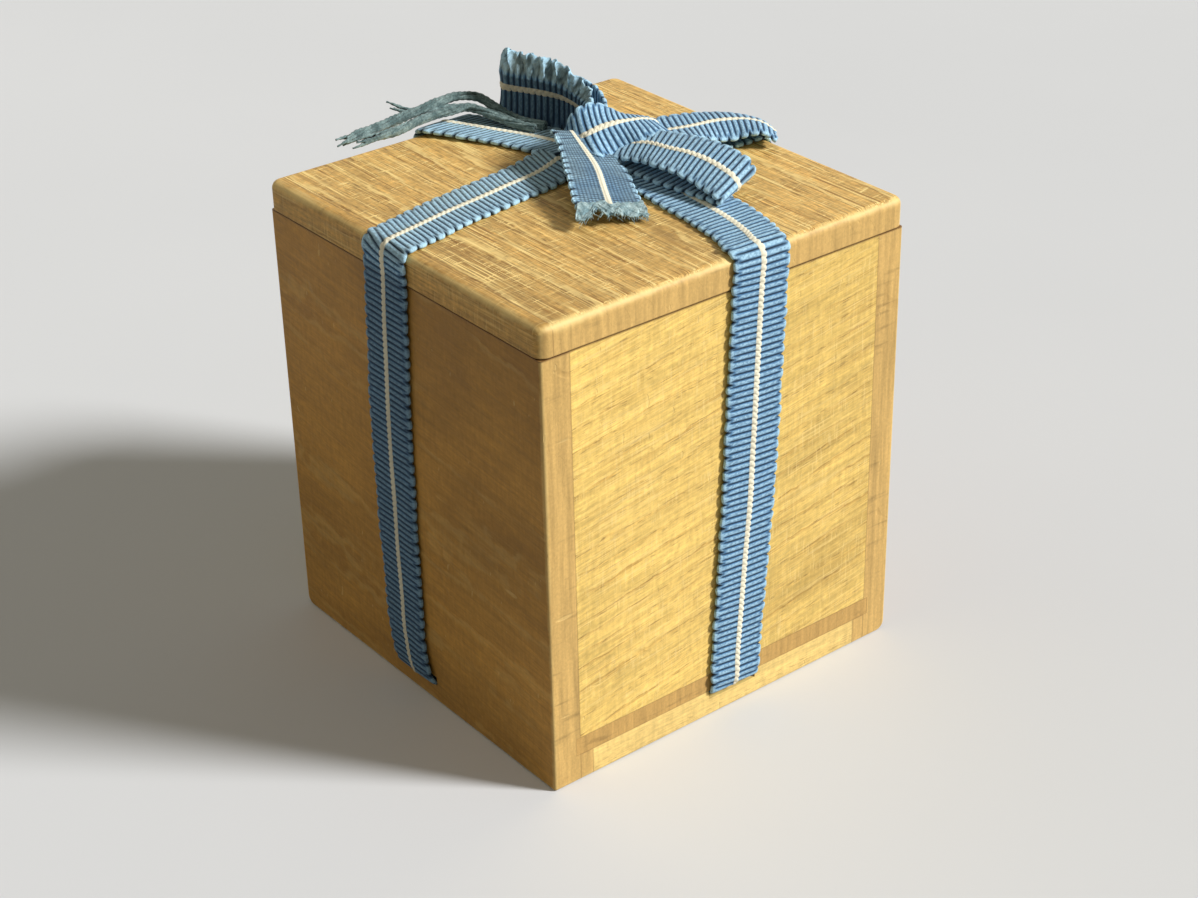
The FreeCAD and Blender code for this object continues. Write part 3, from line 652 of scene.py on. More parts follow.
def yarn_piece(name, tubes, dark, pale):
    """One mesh from many closed tubes of yarn."""
    starts = np.cumsum([0] + [rings[..., 0].size for rings in tubes])
    quads = np.concatenate([closed_tube(rings) + start for rings, start in zip(tubes, starts)])
    piece = mesh_object(name, np.concatenate([rings.reshape(-1, 3) for rings in tubes]), quads)
    piece.data.materials.append(yarn_material(name, dark, pale))
    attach(piece, "lid")
    return piece


def make_strands():
    """Bundles of loose yarn. Each yarn's line is the bundle's path + its radius * (side * cos +
    normal * sin) of an angle that turns slowly, and the yarns part towards their tips."""
    tubes = []
    for number, (yarns, spread, places) in enumerate(STRANDS):
        path, along = evenly(smooth_rows(np.array(places) * MM + [0, 0, LID_TOP], 240), 0.25 * MM)
        side, normal = round_path(path)
        tip = np.clip((along - along[-1] + 13 * MM) / (13 * MM), 0, 1) ** 1.6
        for yarn in range(yarns):
            end = int(len(along) * (1 - 0.16 * ((yarn * 0.618 + number * 0.3) % 1)))
            angle = 2 * np.pi * (along / (38 * MM) + yarn / yarns)
            angle = angle + 0.35 * wave_noise(along / (6 * MM), yarn + number)
            radius = spread * MM * (0.9 + 0.2 * wave_noise(along / (6 * MM), yarn + 7) + 0.3 * tip)
            line = path + radius[:, None] * (side * np.cos(angle)[:, None] + normal * np.sin(angle)[:, None])
            tubes.append(yarn_rings(line[:end], YARN_RADIUS * (1 + 0.15 * math.sin(3 * yarn)), yarn))
    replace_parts(yarn_piece("frayed_yarns", tubes, *STRAND_COLOURS), "frayed_strands")


def make_fringe():
    """Felted end of the front tail: a thin crumpled leaf with a ragged rim, and a few loose hairs.

    With u from -1 to 1 across and v from 0 to 1 along, a point lies at the tail's end + across * u *
    half width + ahead * v * reach(u) + normal * crumple, and the reach has a notch and a long flap.
    """
    rows = bow_rows(BOW["bow_front_tail_band"][-1])
    centre, across = rows[-1, :3], unit(rows[-1, 3:6])
    ahead = unit(rows[-1, :3] - rows[-2, :3])
    normal = np.cross(ahead, across)
    u, v = np.linspace(-1, 1, 97)[None, :], np.linspace(0, 1, 37)[:, None]
    reach = 4.6 + 0.8 * wave_noise(2.3 * u, 5) + 0.35 * wave_noise(11 * u, 8) + 0.25 * wave_noise(29 * u, 3)
    reach = reach - 2.9 * np.exp(-((u + 0.42) / 0.11) ** 2) + 1.2 * np.exp(-((u + 0.8) / 0.16) ** 2)
    folds = 0.5 * wave_noise(4.2 * u + 1.5 * v, 3) + 0.3 * wave_noise(9 * u - 6 * v, 4)
    folds = folds + 0.16 * wave_noise(21 * u + 11 * v, 9)
    flap = np.exp(-((u + 0.85) / 0.25) ** 2)
    sideways = u * 7.4 * (1 + 0.07 * v) + 0.35 * v * wave_noise(7 * u + 3 * v, 6) - 0.9 * flap * v
    start = 1.7 + 1.1 * wave_noise(3.1 * u, 7) + 0.4 * wave_noise(13 * u, 2)
    onwards = v * (reach + start - 1.4) - start
    height = 0.75 + folds * (0.35 + v) * 0.9 - 0.4 * v
    thick = 0.3 * (1 - 0.6 * v ** 3) + 0.06 * wave_noise(15 * u + 17 * v, 2)
    onwards, sideways, height, thick = (
        (amount * MM)[..., None] for amount in (onwards, sideways, height, thick))
    place = centre + ahead * onwards + across * sideways + normal * height
    upper, lower = place + normal * thick, place - normal * thick
    for leaf in (upper, lower):
        leaf[..., 2] = np.maximum(leaf[..., 2], LID_TOP + 0.15 * MM)
    upper[..., 2] = np.maximum(upper[..., 2], lower[..., 2] + 0.2 * MM)
    tubes = [np.concatenate([upper, lower[:, ::-1]], axis=1)]
    chance = np.random.default_rng(5)
    t = np.linspace(0, 1, 10)[:, None]
    for number in range(90):
        column = int(chance.integers(2, 95))
        root = place[int(chance.integers(26, 36)), column]
        lean, droop = chance.normal(0, 0.6), chance.uniform(-0.2, 0.7)
        line = ahead * t + across * lean * t - np.array([0, 0, 1.0]) * droop * t ** 2
        line = root + chance.uniform(0.7, 1.9) * MM * line
        line[:, 2] = np.maximum(line[:, 2], LID_TOP + 0.25 * MM)
        tubes.append(yarn_rings(line, chance.uniform(0.07, 0.15) * MM, number, 6))
    return yarn_piece("front_tail_fringe", tubes, *FRINGE_COLOURS)


# Materials. A Value is a socket to reckon with, and each helper adds nodes to its tree.

class Value:
    """A socket. Adding to it, multiplying it and the like puts a Math node in its tree."""

    def __init__(self, socket):
        self.socket, self.tree = socket, socket.id_data

    def __add__(self, other):
        return math_node("ADD", self, other)

    def __sub__(self, other):
        return math_node("SUBTRACT", self, other)

    def __rsub__(self, other):
        return math_node("SUBTRACT", other, self)

    def __mul__(self, other):
        return math_node("MULTIPLY", self, other)

    def __truediv__(self, other):
        return math_node("DIVIDE", self, other)

    def __pow__(self, other):
        return math_node("POWER", self, other)

    def __abs__(self):
        return math_node("ABSOLUTE", self)


def feed(socket, value):
    """Link a socket to a Value, or set its plain value."""
    if isinstance(value, Value):
        value.tree.links.new(value.socket, socket)
    else:
        socket.default_value = value


def add_node(tree, kind, inputs, output=0, **settings):
    """Shader node with its settings and inputs. Gives one of its outputs."""
    node = tree.nodes.new("ShaderNode" + kind)
    for name, value in settings.items():
        setattr(node, name, value)
    for key, value in inputs.items():
        feed(node.inputs[key], value)
    return Value(node.outputs[output])


def tree_of(values):
    return next(value.tree for value in values if isinstance(value, Value))


def math_node(operation, *values, clamp=False):
    return add_node(tree_of(values), "Math", dict(enumerate(values)), operation=operation, use_clamp=clamp)


def vector_node(operation, *values):
    output = "Value" if operation == "LENGTH" else 0
    return add_node(tree_of(values), "VectorMath", dict(enumerate(values)), output, operation=operation)


def ramp(value, low, high, to_low=0.0, to_high=1.0, kind="SMOOTHSTEP"):
    """A smooth step from to_low at low to to_high at high."""
    inputs = {"Value": value, "From Min": low, "From Max": high, "To Min": to_low, "To Max": to_high}
    return add_node(value.tree, "MapRange", inputs, interpolation_type=kind)


def slope(value, low, high, to_low, to_high):
    """A straight climb from to_low at low to to_high at high, level outside them."""
    return ramp(value, low, high, to_low, to_high, "LINEAR")


def swing(value, to_low, to_high):
    """The middle half of a noise, stretched to a new range."""
    return slope(value, 0.25, 0.75, to_low, to_high)


def noise(place, detail, roughness=0.5, warp=0.0, stretch=(1, 1, 1), shift=(0, 0, 0), scale=1.0):
    placed = add_node(place.tree, "Mapping", {"Vector": place, "Scale": stretch, "Location": shift})
    inputs = {"Vector": placed, "Scale": scale, "Detail": detail, "Roughness": roughness, "Distortion": warp}
    return add_node(place.tree, "TexNoise", inputs, "Fac")


def mix(share, first, second, blend="MIX"):
    tree = tree_of((share, first, second))
    return add_node(tree, "Mix", {0: share, 6: first, 7: second}, 2, data_type="RGBA", blend_type=blend)


def times(colour, tone):
    """A colour times a number."""
    return mix(1.0, colour, join(tone, tone, tone), "MULTIPLY")


def split(vector):
    node = vector.tree.nodes.new("ShaderNodeSeparateXYZ")
    feed(node.inputs[0], vector)
    return [Value(socket) for socket in node.outputs]


def join(x, y, z):
    return add_node(tree_of((x, y, z)), "CombineXYZ", {0: x, 1: y, 2: z})


def object_place(tree):
    return add_node(tree, "TexCoord", {}, "Object")


def bump(height, distance, strength):
    return add_node(height.tree, "Bump", {"Strength": strength, "Distance": distance, "Height": height})


def plain(colour):
    """A colour with its alpha."""
    return (*colour, 1.0)


def shader_group(name, build, vectors, numbers, colours):
    """The node group of that name, made on its first use. vectors and numbers give each input's
    default. build takes the inputs by name and gives the outputs by name."""
    group = bpy.data.node_groups.get(name)
    if group:
        return group
    group = bpy.data.node_groups.new(name, "ShaderNodeTree")

    def add_socket(label, way, kind, value=None):
        socket = group.interface.new_socket(label, in_out=way, socket_type="NodeSocket" + kind)
        if value is not None:
            socket.default_value = value

    for kind, inputs in (("Vector", vectors), ("Float", numbers), ("Color", dict.fromkeys(colours))):
        for label, value in inputs.items():
            add_socket(label, "INPUT", kind, value)
    start = group.nodes.new("NodeGroupInput")
    results = build({socket.name: Value(socket) for socket in start.outputs})
    for label in results:
        add_socket(label, "OUTPUT", "Color" if label == "Color" else "Float")
    end = group.nodes.new("NodeGroupOutput")
    for label, value in results.items():
        feed(end.inputs[label], value)
    return group


def set_inputs(node, **values):
    """Feed a node's inputs by their names, with _ for each space."""
    for label, value in values.items():
        feed(node.inputs[label.replace("_", " ")], value)


def place_group(tree, group, **values):
    """Put a group in a tree with its own values. Gives its outputs by name."""
    node = tree.nodes.new("ShaderNodeGroup")
    node.node_tree = group
    set_inputs(node, **values)
    return {socket.name: Value(socket) for socket in node.outputs}


def new_material(name):
    material = bpy.data.materials.new(name)
    material.use_nodes = True
    tree = material.node_tree
    return material, tree, tree.nodes["Principled BSDF"]


# Woven tape

DEEPEST_PAINTED_SHADE = 0.12  # the share of its colour that the tape keeps under the deepest painted shade
SOILED_YARN = (0.34, 0.29, 0.2, 1.0)


def woven_cords(given):
    """Colour of the tape from its own flat coordinates in metres: across and along."""
    cord, fadeshade, fine = given["Cord"], given["Fadeshade"], given["Fine"]
    place = vector_node("MULTIPLY", given["Vector"], (1 / MM, 1 / MM, 1 / MM))
    u, v, _ = split(place)
    fibres = noise(place, 3.0, 0.6, stretch=(0.8, 6.5, 1))
    flecks = noise(place, 2.0, 0.7, stretch=(2.2, 3.2, 1), shift=(9, 3, 0))
    marks = noise(place, 1.0, 0.5, 0.3, stretch=(1.15, 2.3, 1), shift=(2, 6, 0))
    patches = noise(place, 3.0, 0.55, 0.4, stretch=(0.12, 0.055, 1), shift=(4, 7, 0))
    ribs = noise(join(u * 0.09, v, 3.0), 1.0, scale=0.75)
    faded = ramp(patches + ribs * 0.35, 0.45, 0.85) * 0.6 + 0.6
    # Painted shade: a dye value under 0 darkens the tape, most at -1. The crowns, edge loops and middle yarn
    # darken with it, and random marks dull it too.
    painted_shade_factor = slope(fadeshade, -1.0, 0.0, DEEPEST_PAINTED_SHADE, 1.0)
    dull_and_painted_shade = ramp(marks, 0.5, 0.34, 1.0, 0.82) * slope(painted_shade_factor, DEEPEST_PAINTED_SHADE, 1.0, 0.2, 1.0)
    base = mix(math_node("MULTIPLY", faded, fadeshade, clamp=True), given["Blue"], given["Faded blue"])
    base = times(times(base, swing(ribs, 0.82, 1.15) * swing(fibres, 0.6, 1.35)), dull_and_painted_shade)
    # pale crowns and edge loops, partly rubbed and partly a painted highlight, none where shade is painted;
    # painted shade in the grooves
    crown = ramp(cord, 0.78, 1.0) * ramp(marks, 0.42, 0.6, 0.45, 0.85) * (1.0 - fine)
    rim = ramp(abs(u), 6.3, 7.2) * ramp(cord * flecks, 0.2, 0.55)
    base = mix(math_node("MAXIMUM", crown, rim) * painted_shade_factor, base, given["Rubbed blue"])
    # the grooves' dark colour is painted shade
    base = mix(ramp(cord, 0.38, 0.9), given["Deep blue"], base)
    # squares of the flat face's plain weave
    warp, weft = math_node("COSINE", u * 7.6), math_node("COSINE", v * 7.2)
    squares = slope(warp, -1.0, 0.6, 0.35, 1.0) * slope(weft, -1.0, 0.6, 0.45, 1.0)
    base = mix(fine, base, times(base, slope(squares, 0.15, 1.0, 0.6, 1.5)))
    # twisted pale yarn along the middle
    edge = abs(u) + (flecks - 0.5) * 0.3 - slope(cord, 0.0, 1.0, -0.16, 0.1)
    cream = mix(ramp(cord, 0.1, 0.5, 0.25, 0.0), given["Cream"], given["Faded blue"])
    cream = mix(ramp(patches, 0.4, 0.75, 0.0, 0.2), cream, SOILED_YARN)
    # painted shade darkens the middle yarn towards the groove colour
    cream = mix(slope(painted_shade_factor, DEEPEST_PAINTED_SHADE, 0.5, 0.6, 0.0), cream, given["Deep blue"])
    stripe = ramp(edge - given["Stripe width"] / MM * 0.5, -0.12, 0.1, 1.0, 0.0)
    return {"Color": mix(stripe, base, cream), "Roughness": slope(fibres, 0.3, 0.8, 0.78, 0.92),
            "Height": fibres * 0.6 + marks * 0.45 + squares * fine}


def tape_material(kind):
    """The tape's ribbed weave, or the fine weave of its flat end. Made on its first use."""
    name = "tape_" + kind
    if name in bpy.data.materials:
        return bpy.data.materials[name]
    tape = bpy.context.scene.caddy_tape
    material, tree, shader = new_material(name)
    group = shader_group(
        "Ribbed weave", woven_cords, {"Vector": None},
        {"Cord": 0.5, "Fadeshade": 0.3, "Stripe width": 1.4 * MM, "Fine": 0.0},
        ("Blue", "Deep blue", "Faded blue", "Rubbed blue", "Cream"))
    marks = {label: add_node(tree, "Attribute", {}, "Fac", attribute_name=label.lower())
             for label in ("Cord", "Fadeshade")}
    out = place_group(
        tree, group, Vector=add_node(tree, "UVMap", {}, uv_map="UVMap"), **marks,
        Stripe_width=tape.stripe_width, Fine=float(kind == "fine"), Blue=tape.blue, Deep_blue=tape.painted_shade_blue,
        Faded_blue=tape.faded_blue, Rubbed_blue=tape.rubbed_and_highlight_blue, Cream=tape.cream)
    set_inputs(shader, Base_Color=out["Color"], Roughness=out["Roughness"],
               Normal=bump(out["Height"], 0.16 * MM, 0.9),
               Sheen_Weight=0.1, Sheen_Roughness=0.5, Specular_IOR_Level=0.25)
    return material


def yarn_material(name, dark, pale):
    """Loose greyish blue yarn, paler in patches."""
    material, tree, shader = new_material(name + "_yarn")
    place = vector_node("MULTIPLY", object_place(tree), (1 / MM, 1 / MM, 1 / MM))
    fibres = noise(place, 3.0, 0.6, scale=2.4)
    patches = noise(place, 3.0, 0.6, scale=0.5)
    colour = mix(ramp(patches, 0.35, 0.7, 0.0, 0.9), plain(dark), plain(pale))
    set_inputs(shader, Base_Color=times(colour, swing(fibres, 0.5, 1.25)), Roughness=0.88, Sheen_Weight=0.2,
               Specular_IOR_Level=0.2, Normal=bump(fibres, 0.12 * MM, 0.8))
    return material


# Wood

def ringed_grain(given):
    """Paulownia, from coordinates in metres with the grain along X and the heart far off.

    A growth ring's number is the distance to the heart over the ring spacing, warped by slow noise.
    Each ring darkens slowly and ends in a sharp line. Pores are noise stretched along the grain, so
    they are dashes on a long face and dots on end grain.
    """
    seed, side_grain = given["Seed"], 1.0 - given["End grain"]
    place = vector_node("ADD", given["Vector"], join(seed * 0.37, seed, seed * 0.71))
    slow = noise(place, 2.0, stretch=(6, 52, 52))
    quick = noise(place, 3.0, 0.55, stretch=(40, 240, 240), shift=(3, 1, 5))
    wobble = noise(place, 2.0, stretch=(170, 70, 70), shift=(5, 9, 3))
    broken = noise(place, 2.0, 0.6, stretch=(75, 330, 330), shift=(8, 2, 7))
    fibres = noise(place, 4.0, 0.65, stretch=(85, 1900, 1900), shift=(2, 8, 1))
    streaks = noise(place, 3.0, 0.6, stretch=(22, 560, 560), shift=(7, 2, 9))
    cross = noise(place, 2.0, 0.6, stretch=(1050, 210, 210), shift=(3, 3, 9))
    patina = noise(place, 3.0, 0.6, 0.3, stretch=(22, 30, 30), shift=(1, 4, 2))
    cloud = noise(place, 2.0, stretch=(9, 13, 13), shift=(5, 4, 8))
    mottle = noise(place, 3.0, 0.7, stretch=(420, 900, 900), shift=(7, 7, 2))
    dashes = noise(place, 1.0, 0.4, stretch=(290, 2900, 2900), shift=(6, 3, 2))
    parts = noise(place, 2.0, stretch=(80, 330, 330), shift=(2, 5, 1))
    # growth rings, each with its own strength
    _, y, z = split(vector_node("SUBTRACT", given["Vector"], given["Heart"]))
    distance = vector_node("LENGTH", join(0.0, y, z))
    turns = distance / given["Ring spacing"] + slow * 2.8 + quick * 0.5 + wobble * 0.45
    ring = math_node("FRACT", turns)
    strength = math_node("FRACT", math_node("SINE", math_node("FLOOR", turns) * 12.9898) * 43758.5)
    line = ring ** 18.0 * ramp(ring, 0.95, 1.0, 1.0, 0.0) * slope(strength, 0.2, 0.9, 0.15, 1.5)
    line = line * ramp(broken, 0.42, 0.6, 0.0, 1.6) + ring ** 3.0 * 0.2
    line = math_node("MULTIPLY", line, given["Line strength"] * side_grain, clamp=True)
    # tone and dirt
    blotch = slope(patina * 0.5 + cloud * 0.5, 0.34, 0.66, 1.0, -1.0)
    tone = swing(fibres, 0.82, 1.16) * swing(streaks, 0.86, 1.13) * swing(cross, 0.9, 1.09)
    tone = tone * (blotch * given["Blotches"] * 0.3 + 1.0) * swing(mottle, 0.84, 1.16)
    colour = times(mix(line, given["Light wood"], given["Dark wood"]), tone ** given["Contrast"])
    dirt = ramp(blotch + quick * 0.8, 0.2, -0.9, 0.0, 0.35)
    colour = mix(dirt * given["Blotches"], colour, given["Dark wood"])
    # pores, fine hairs along and across, and the pale start of each ring
    pores = ramp(dashes + ramp(ring, 0.55, 1.0, 0.0, 0.09), 0.66, 0.75)
    pores = pores * (given["Pore strength"] * side_grain)
    colour = mix(pores, colour, given["Pores"])
    for stretch, shift, low, amount, tint in (
            ((34, 2300, 2300), (4, 9, 6), 0.55, "Pale streaks", "Worn wood"),
            ((2100, 190, 190), (6, 2, 4), 0.6, "Pale streaks", "Worn wood"),
            ((42, 2500, 2500), (9, 4, 1), 0.57, "Dark streaks", "Dark wood")):
        hairs = ramp(noise(place, 1.5, stretch=stretch, shift=shift), low, low + 0.07)
        hairs = hairs * ramp(parts, 0.38, 0.58, 0.25, 1.0) * (given[amount] * side_grain)
        colour = mix(hairs, colour, given[tint])
    early = ramp(ring, 0.0, 0.05) * ramp(ring, 0.1, 0.2, 1.0, 0.0) * ramp(broken, 0.35, 0.6, 0.15, 1.0)
    colour = mix(early * (given["Pale rings"] * side_grain), colour, given["Worn wood"])
    # end grain: upright streaks, a few cross marks and no fibres
    upright = noise(place, 3.0, 0.6, stretch=(30, 640, 42), shift=(1, 3, 3))
    level = noise(place, 2.0, stretch=(30, 70, 520), shift=(6, 1, 2))
    dust = noise(place, 2.0, 0.6, scale=1500.0)
    end_tone = swing(upright, 0.7, 1.2) * swing(dust, 0.9, 1.1) * ramp(level, 0.6, 0.75, 1.0, 0.72)
    colour = mix(given["End grain"], colour, times(given["End wood"], end_tone))
    return {"Color": colour, "Roughness": swing(fibres, 0.5, 0.64) + pores * 0.2,
            "Height": fibres * 0.35 - pores * 0.8 - ring * 0.25}


def rubbed_edges(given):
    """Rubbed edges and dents of a board. The mask rises near the two closest faces of its box at once."""
    away = vector_node("ABSOLUTE", vector_node("SUBTRACT", given["Vector"], given["Middle"]))
    x, y, z = split(vector_node("SUBTRACT", given["Half size"], away))
    low, high = math_node("MINIMUM", x, y), math_node("MAXIMUM", x, y)
    second = math_node("MAXIMUM", low, math_node("MINIMUM", high, z))
    place = vector_node("ADD", given["Vector"], join(given["Seed"], given["Seed"], 0.0))
    ragged = noise(place, 3.0, 0.6, scale=230.0)
    broad = noise(place, 2.0, shift=(3, 1, 2), scale=28.0)
    reach = given["Reach"] * (slope(ragged, 0.3, 0.7, 0.5, 1.1) + ramp(broad, 0.45, 0.7, 0.0, 0.5))
    dents = noise(place, 1.0, 0.4, 0.6, shift=(2, 8, 4), scale=150.0)
    along = noise(place, 1.0, 0.3, 0.2, stretch=(60, 900, 260), shift=(1, 6, 4))
    across = noise(place, 1.0, 0.3, 0.2, stretch=(800, 70, 330), shift=(9, 1, 3))
    scratches = math_node("MAXIMUM", ramp(along, 0.76, 0.8), ramp(across, 0.77, 0.81))
    return {"Edge": ramp(second, 0.0, reach, 1.0, 0.0), "Dents": ramp(dents, 0.69, 0.78),
            "Scratches": scratches}


PALE_WOOD = (0.84, 0.585, 0.17)
WALL_LINES = (0.46, 0.235, 0.05)
BROWN_WOOD = (0.47, 0.245, 0.05)
BROWN_LINES = (0.28, 0.13, 0.025)
PLAIN_WOOD = (0.6, 0.37, 0.12)
RAIL_WOOD = (0.86, 0.62, 0.22)
END_WOOD = (0.68, 0.44, 0.15)
BATTEN = (PALE_WOOD, (0.45, 0.25, 0.07), 0.5, 0.3, 0.05, 0.4, 1.0, 5.0)
CROSS_RAIL = (PLAIN_WOOD, (0.32, 0.16, 0.04), 0.5, 0.5, 0.1, 0.4, 1.2, 4.0)
# Half width, bottom and top of the block whose edges are rubbed, and the rubbing's reach in mm. The
# lid's block goes on below it and the box's above it, so only the edges that hands reach are rubbed.
LID_WEAR = LID_HALF, 40 * MM, LID_TOP, 1.9
BOX_WEAR = BOX_HALF, 0.0, 180 * MM, 1.1
AXES = {"x": (0, 1, 2), "y": (1, 0, 2)}
GRAIN_SLOPES = {"right_board": 0.15, "left_board": -0.12, "front_board": -0.1}
BOARDS = {
    # node: grain axis, seed, heart (second and third coordinate, mm), light, dark, line strength,
    # blotches, pale streaks, pores, contrast, ring spacing (mm)
    "lid_board": ("x", 0.31, (-300, -40), (0.66, 0.41, 0.125), (0.3, 0.145, 0.03),
                  0.3, 0.6, 1.0, 0.55, 1.8, 6.3),
    "lid_edge_strip": ("x", 0.83, (-60, 230), (0.56, 0.33, 0.09), (0.3, 0.15, 0.035),
                       0.4, 0.6, 0.3, 0.3, 1.5, 5.0),
    "right_board": ("y", 0.12, (-90, -420), PALE_WOOD, WALL_LINES, 0.6, 0.5, 0.4, 0.4, 1.25, 4.7),
    "left_board": ("y", 0.57, (110, -380), PALE_WOOD, WALL_LINES, 0.6, 0.5, 0.4, 0.4, 1.25, 5.1),
    "front_board": ("x", 0.44, (-250, 160), BROWN_WOOD, BROWN_LINES, 0.3, 1.0, 0.03, 0.08, 1.0, 12.0),
    "back_board": ("x", 0.95, (260, 140), BROWN_WOOD, BROWN_LINES, 0.35, 0.9, 0.06, 0.1, 1.0, 11.0),
    "bottom_board": ("x", 0.22, (-230, 0), PLAIN_WOOD, (0.28, 0.14, 0.03), 0.7, 0.5, 0.2, 0.4, 1.5, 6.5),
    "front_foot_rail": ("x", 0.67, (60, 90), *CROSS_RAIL),
    "back_foot_rail": ("x", 0.71, (-60, 90), *CROSS_RAIL),
    "left_foot_rail": ("y", 0.39, (80, 110), RAIL_WOOD, (0.52, 0.3, 0.08), 0.3, 0.4, 0.1, 0.3, 1.1, 6.0),
    "right_foot_rail": ("y", 0.52, (-80, 110), RAIL_WOOD, (0.52, 0.3, 0.08), 0.25, 0.4, 0.1, 0.3, 1.1, 6.0),
    "lid_front_batten": ("x", 0.18, (50, 60), *BATTEN),
    "lid_back_batten": ("x", 0.26, (-50, 60), *BATTEN),
    "lid_left_batten": ("y", 0.76, (60, 60), *BATTEN),
    "lid_right_batten": ("y", 0.88, (-60, 60), *BATTEN),
}


def box_wear(place, low, high, reach, seed):
    """The wear group set to a box's two far corners."""
    group = shader_group(
        "Edge wear", rubbed_edges, {"Vector": None, "Middle": (0, 0, 0), "Half size": (0.05, 0.05, 0.05)},
        {"Reach": 1.3 * MM, "Seed": 0.0}, ())
    low, high = np.array(low), np.array(high)
    return place_group(place.tree, group, Vector=place, Middle=tuple((low + high) / 2),
                       Half_size=tuple((high - low) / 2), Reach=reach * MM, Seed=seed)


def wood_material(node):
    """One board's paulownia: grain along its own axis, darker end grain, rubbed outer edges, dents,
    and thin dark lines at its joints and under the lid, the one under the lid partly painted shadow."""
    axis, seed, heart, light, dark, lines, blotches, pale, pores, contrast, rings = BOARDS[node]
    end_wood = PLAIN_WOOD if node == "bottom_board" else END_WOOD
    wood = bpy.context.scene.caddy_wood
    material, tree, shader = new_material("paulownia_" + node)
    place = object_place(tree)
    parts = split(place)
    first, second, third = (parts[i] for i in AXES[axis])
    facing = split(add_node(tree, "TexCoord", {}, "Normal"))[AXES[axis][0]]
    group = shader_group(
        "Paulownia grain", ringed_grain, {"Vector": None, "Heart": (0.0, 0.2, 0.3)},
        {"Ring spacing": 5.5 * MM, "End grain": 0.0, "Line strength": 0.75, "Blotches": 0.4,
         "Pale streaks": 0.2, "Dark streaks": 0.2, "Pale rings": 0.0, "Pore strength": 0.5,
         "Contrast": 1.0, "Seed": 0.0},
        ("Light wood", "Dark wood", "End wood", "Pores", "Worn wood"))
    out = place_group(
        tree, group, Vector=join(first, second, third - first * GRAIN_SLOPES.get(node, 0.0)),
        Heart=(0.0, heart[0] * MM, heart[1] * MM), Ring_spacing=rings * MM,
        End_grain=ramp(abs(facing), 0.55, 0.85), Line_strength=lines, Blotches=blotches,
        Pale_streaks=pale, Dark_streaks=pale * 0.9, Pale_rings=0.6 if node == "lid_board" else 0.12,
        Pore_strength=pores, Contrast=contrast, Seed=seed, Light_wood=plain(light), Dark_wood=plain(dark),
        End_wood=plain(end_wood), Pores=wood.pore, Worn_wood=wood.worn)
    on_lid = node.startswith("lid")
    half, bottom, top, reach = LID_WEAR if on_lid else BOX_WEAR
    outer = box_wear(place, (-half, -half, bottom), (half, half, top), reach, seed)
    joint = box_wear(place, *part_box(node), 0.3, seed + 1)
    # Dark line where the lid meets the walls: the joint, and partly painted shadow under the lid's edge.
    lid_seam_and_shadow = ramp(abs(parts[2] - (WALL_TOP + 0.1 * MM)), 0.1 * MM, 0.55 * MM, 1.0, 0.0) * 0.75
    colour = mix(outer["Edge"] * (0.85 if on_lid else 0.5), out["Color"], wood.worn)
    colour = mix(math_node("MAXIMUM", lid_seam_and_shadow, joint["Edge"] * 0.4), colour, wood.pore)
    colour = mix(outer["Dents"] * 0.1, colour, plain(dark))
    colour = mix(outer["Scratches"] * 0.25, colour, wood.worn)
    height = out["Height"] - outer["Dents"] * 0.6 - outer["Scratches"] * 0.7
    set_inputs(shader, Base_Color=colour, Roughness=out["Roughness"], Normal=bump(height, 0.16 * MM, 0.75),
               Specular_IOR_Level=0.35)
    return material


def dress(node, material):
    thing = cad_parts[node]
    if not thing.material_slots:
        thing.data.materials.append(material)
    for slot in thing.material_slots:
        slot.link = "OBJECT"
        slot.material = material


# Lacquer

def lacquer_material(name, tint, rubbed):
    """Polished black lacquer: faint long waves, dust-fine roughness and a brown rubbed edge."""
    lacquer = bpy.context.scene.caddy_lacquer
    polish = lacquer.roughness
    material, tree, shader = new_material(name)
    place = object_place(tree)
    waves = noise(place, 2.0, 0.4, scale=60.0)
    dust = noise(place, 2.0, 0.6, scale=2600.0)
    rubs = noise(place, 3.0, 0.6, 0.5, stretch=(120, 120, 45))
    set_inputs(
        shader, Base_Color=mix(ramp(rubs, 0.45, 0.8, 0.0, rubbed), lacquer.black, plain(tint)),
        Roughness=ramp(rubs, 0.3, 0.8, polish, polish + 0.12) + ramp(dust, 0.55, 0.8) * 0.08,
        Normal=bump(waves + dust * 0.02, 0.12 * MM, 0.25), Coat_Weight=0.6, Coat_Roughness=0.06,
        Specular_IOR_Level=0.5)
    return material


# Stage

FLOOR_SEEN = (0.69, 0.71, 0.74), (0.74, 0.76, 0.79)
FLOOR_THROWN = (0.3, 0.29, 0.28)
FLOOR_REACH = 8.0
WORLD_SEEN = (0.86, 0.86, 0.85)
WORLD_LIGHT, WORLD_STRENGTH = (1.0, 0.93, 0.76), 0.21
AIM = Vector((0, 0, 0.05))


def seen_ray(tree):
    """1 for a ray from the camera, a polished face or glass, and 0 for light on its way."""
    rays = tree.nodes.new("ShaderNodeLightPath").outputs
    camera, glossy, through = (Value(rays[f"Is {kind} Ray"]) for kind in ("Camera", "Glossy", "Transmission"))
    return math_node("MAXIMUM", camera, math_node("MAXIMUM", glossy, through))


def floor_material():
    """Pale paper. It stays pale to the camera and throws little light back at the box."""
    material, tree, shader = new_material("pale_floor")
    seen = mix(noise(object_place(tree), 3.0, scale=5.0), *(plain(colour) for colour in FLOOR_SEEN))
    set_inputs(shader, Base_Color=mix(seen_ray(tree), plain(FLOOR_THROWN), seen), Roughness=0.75,
               Specular_IOR_Level=0.2)
    return material


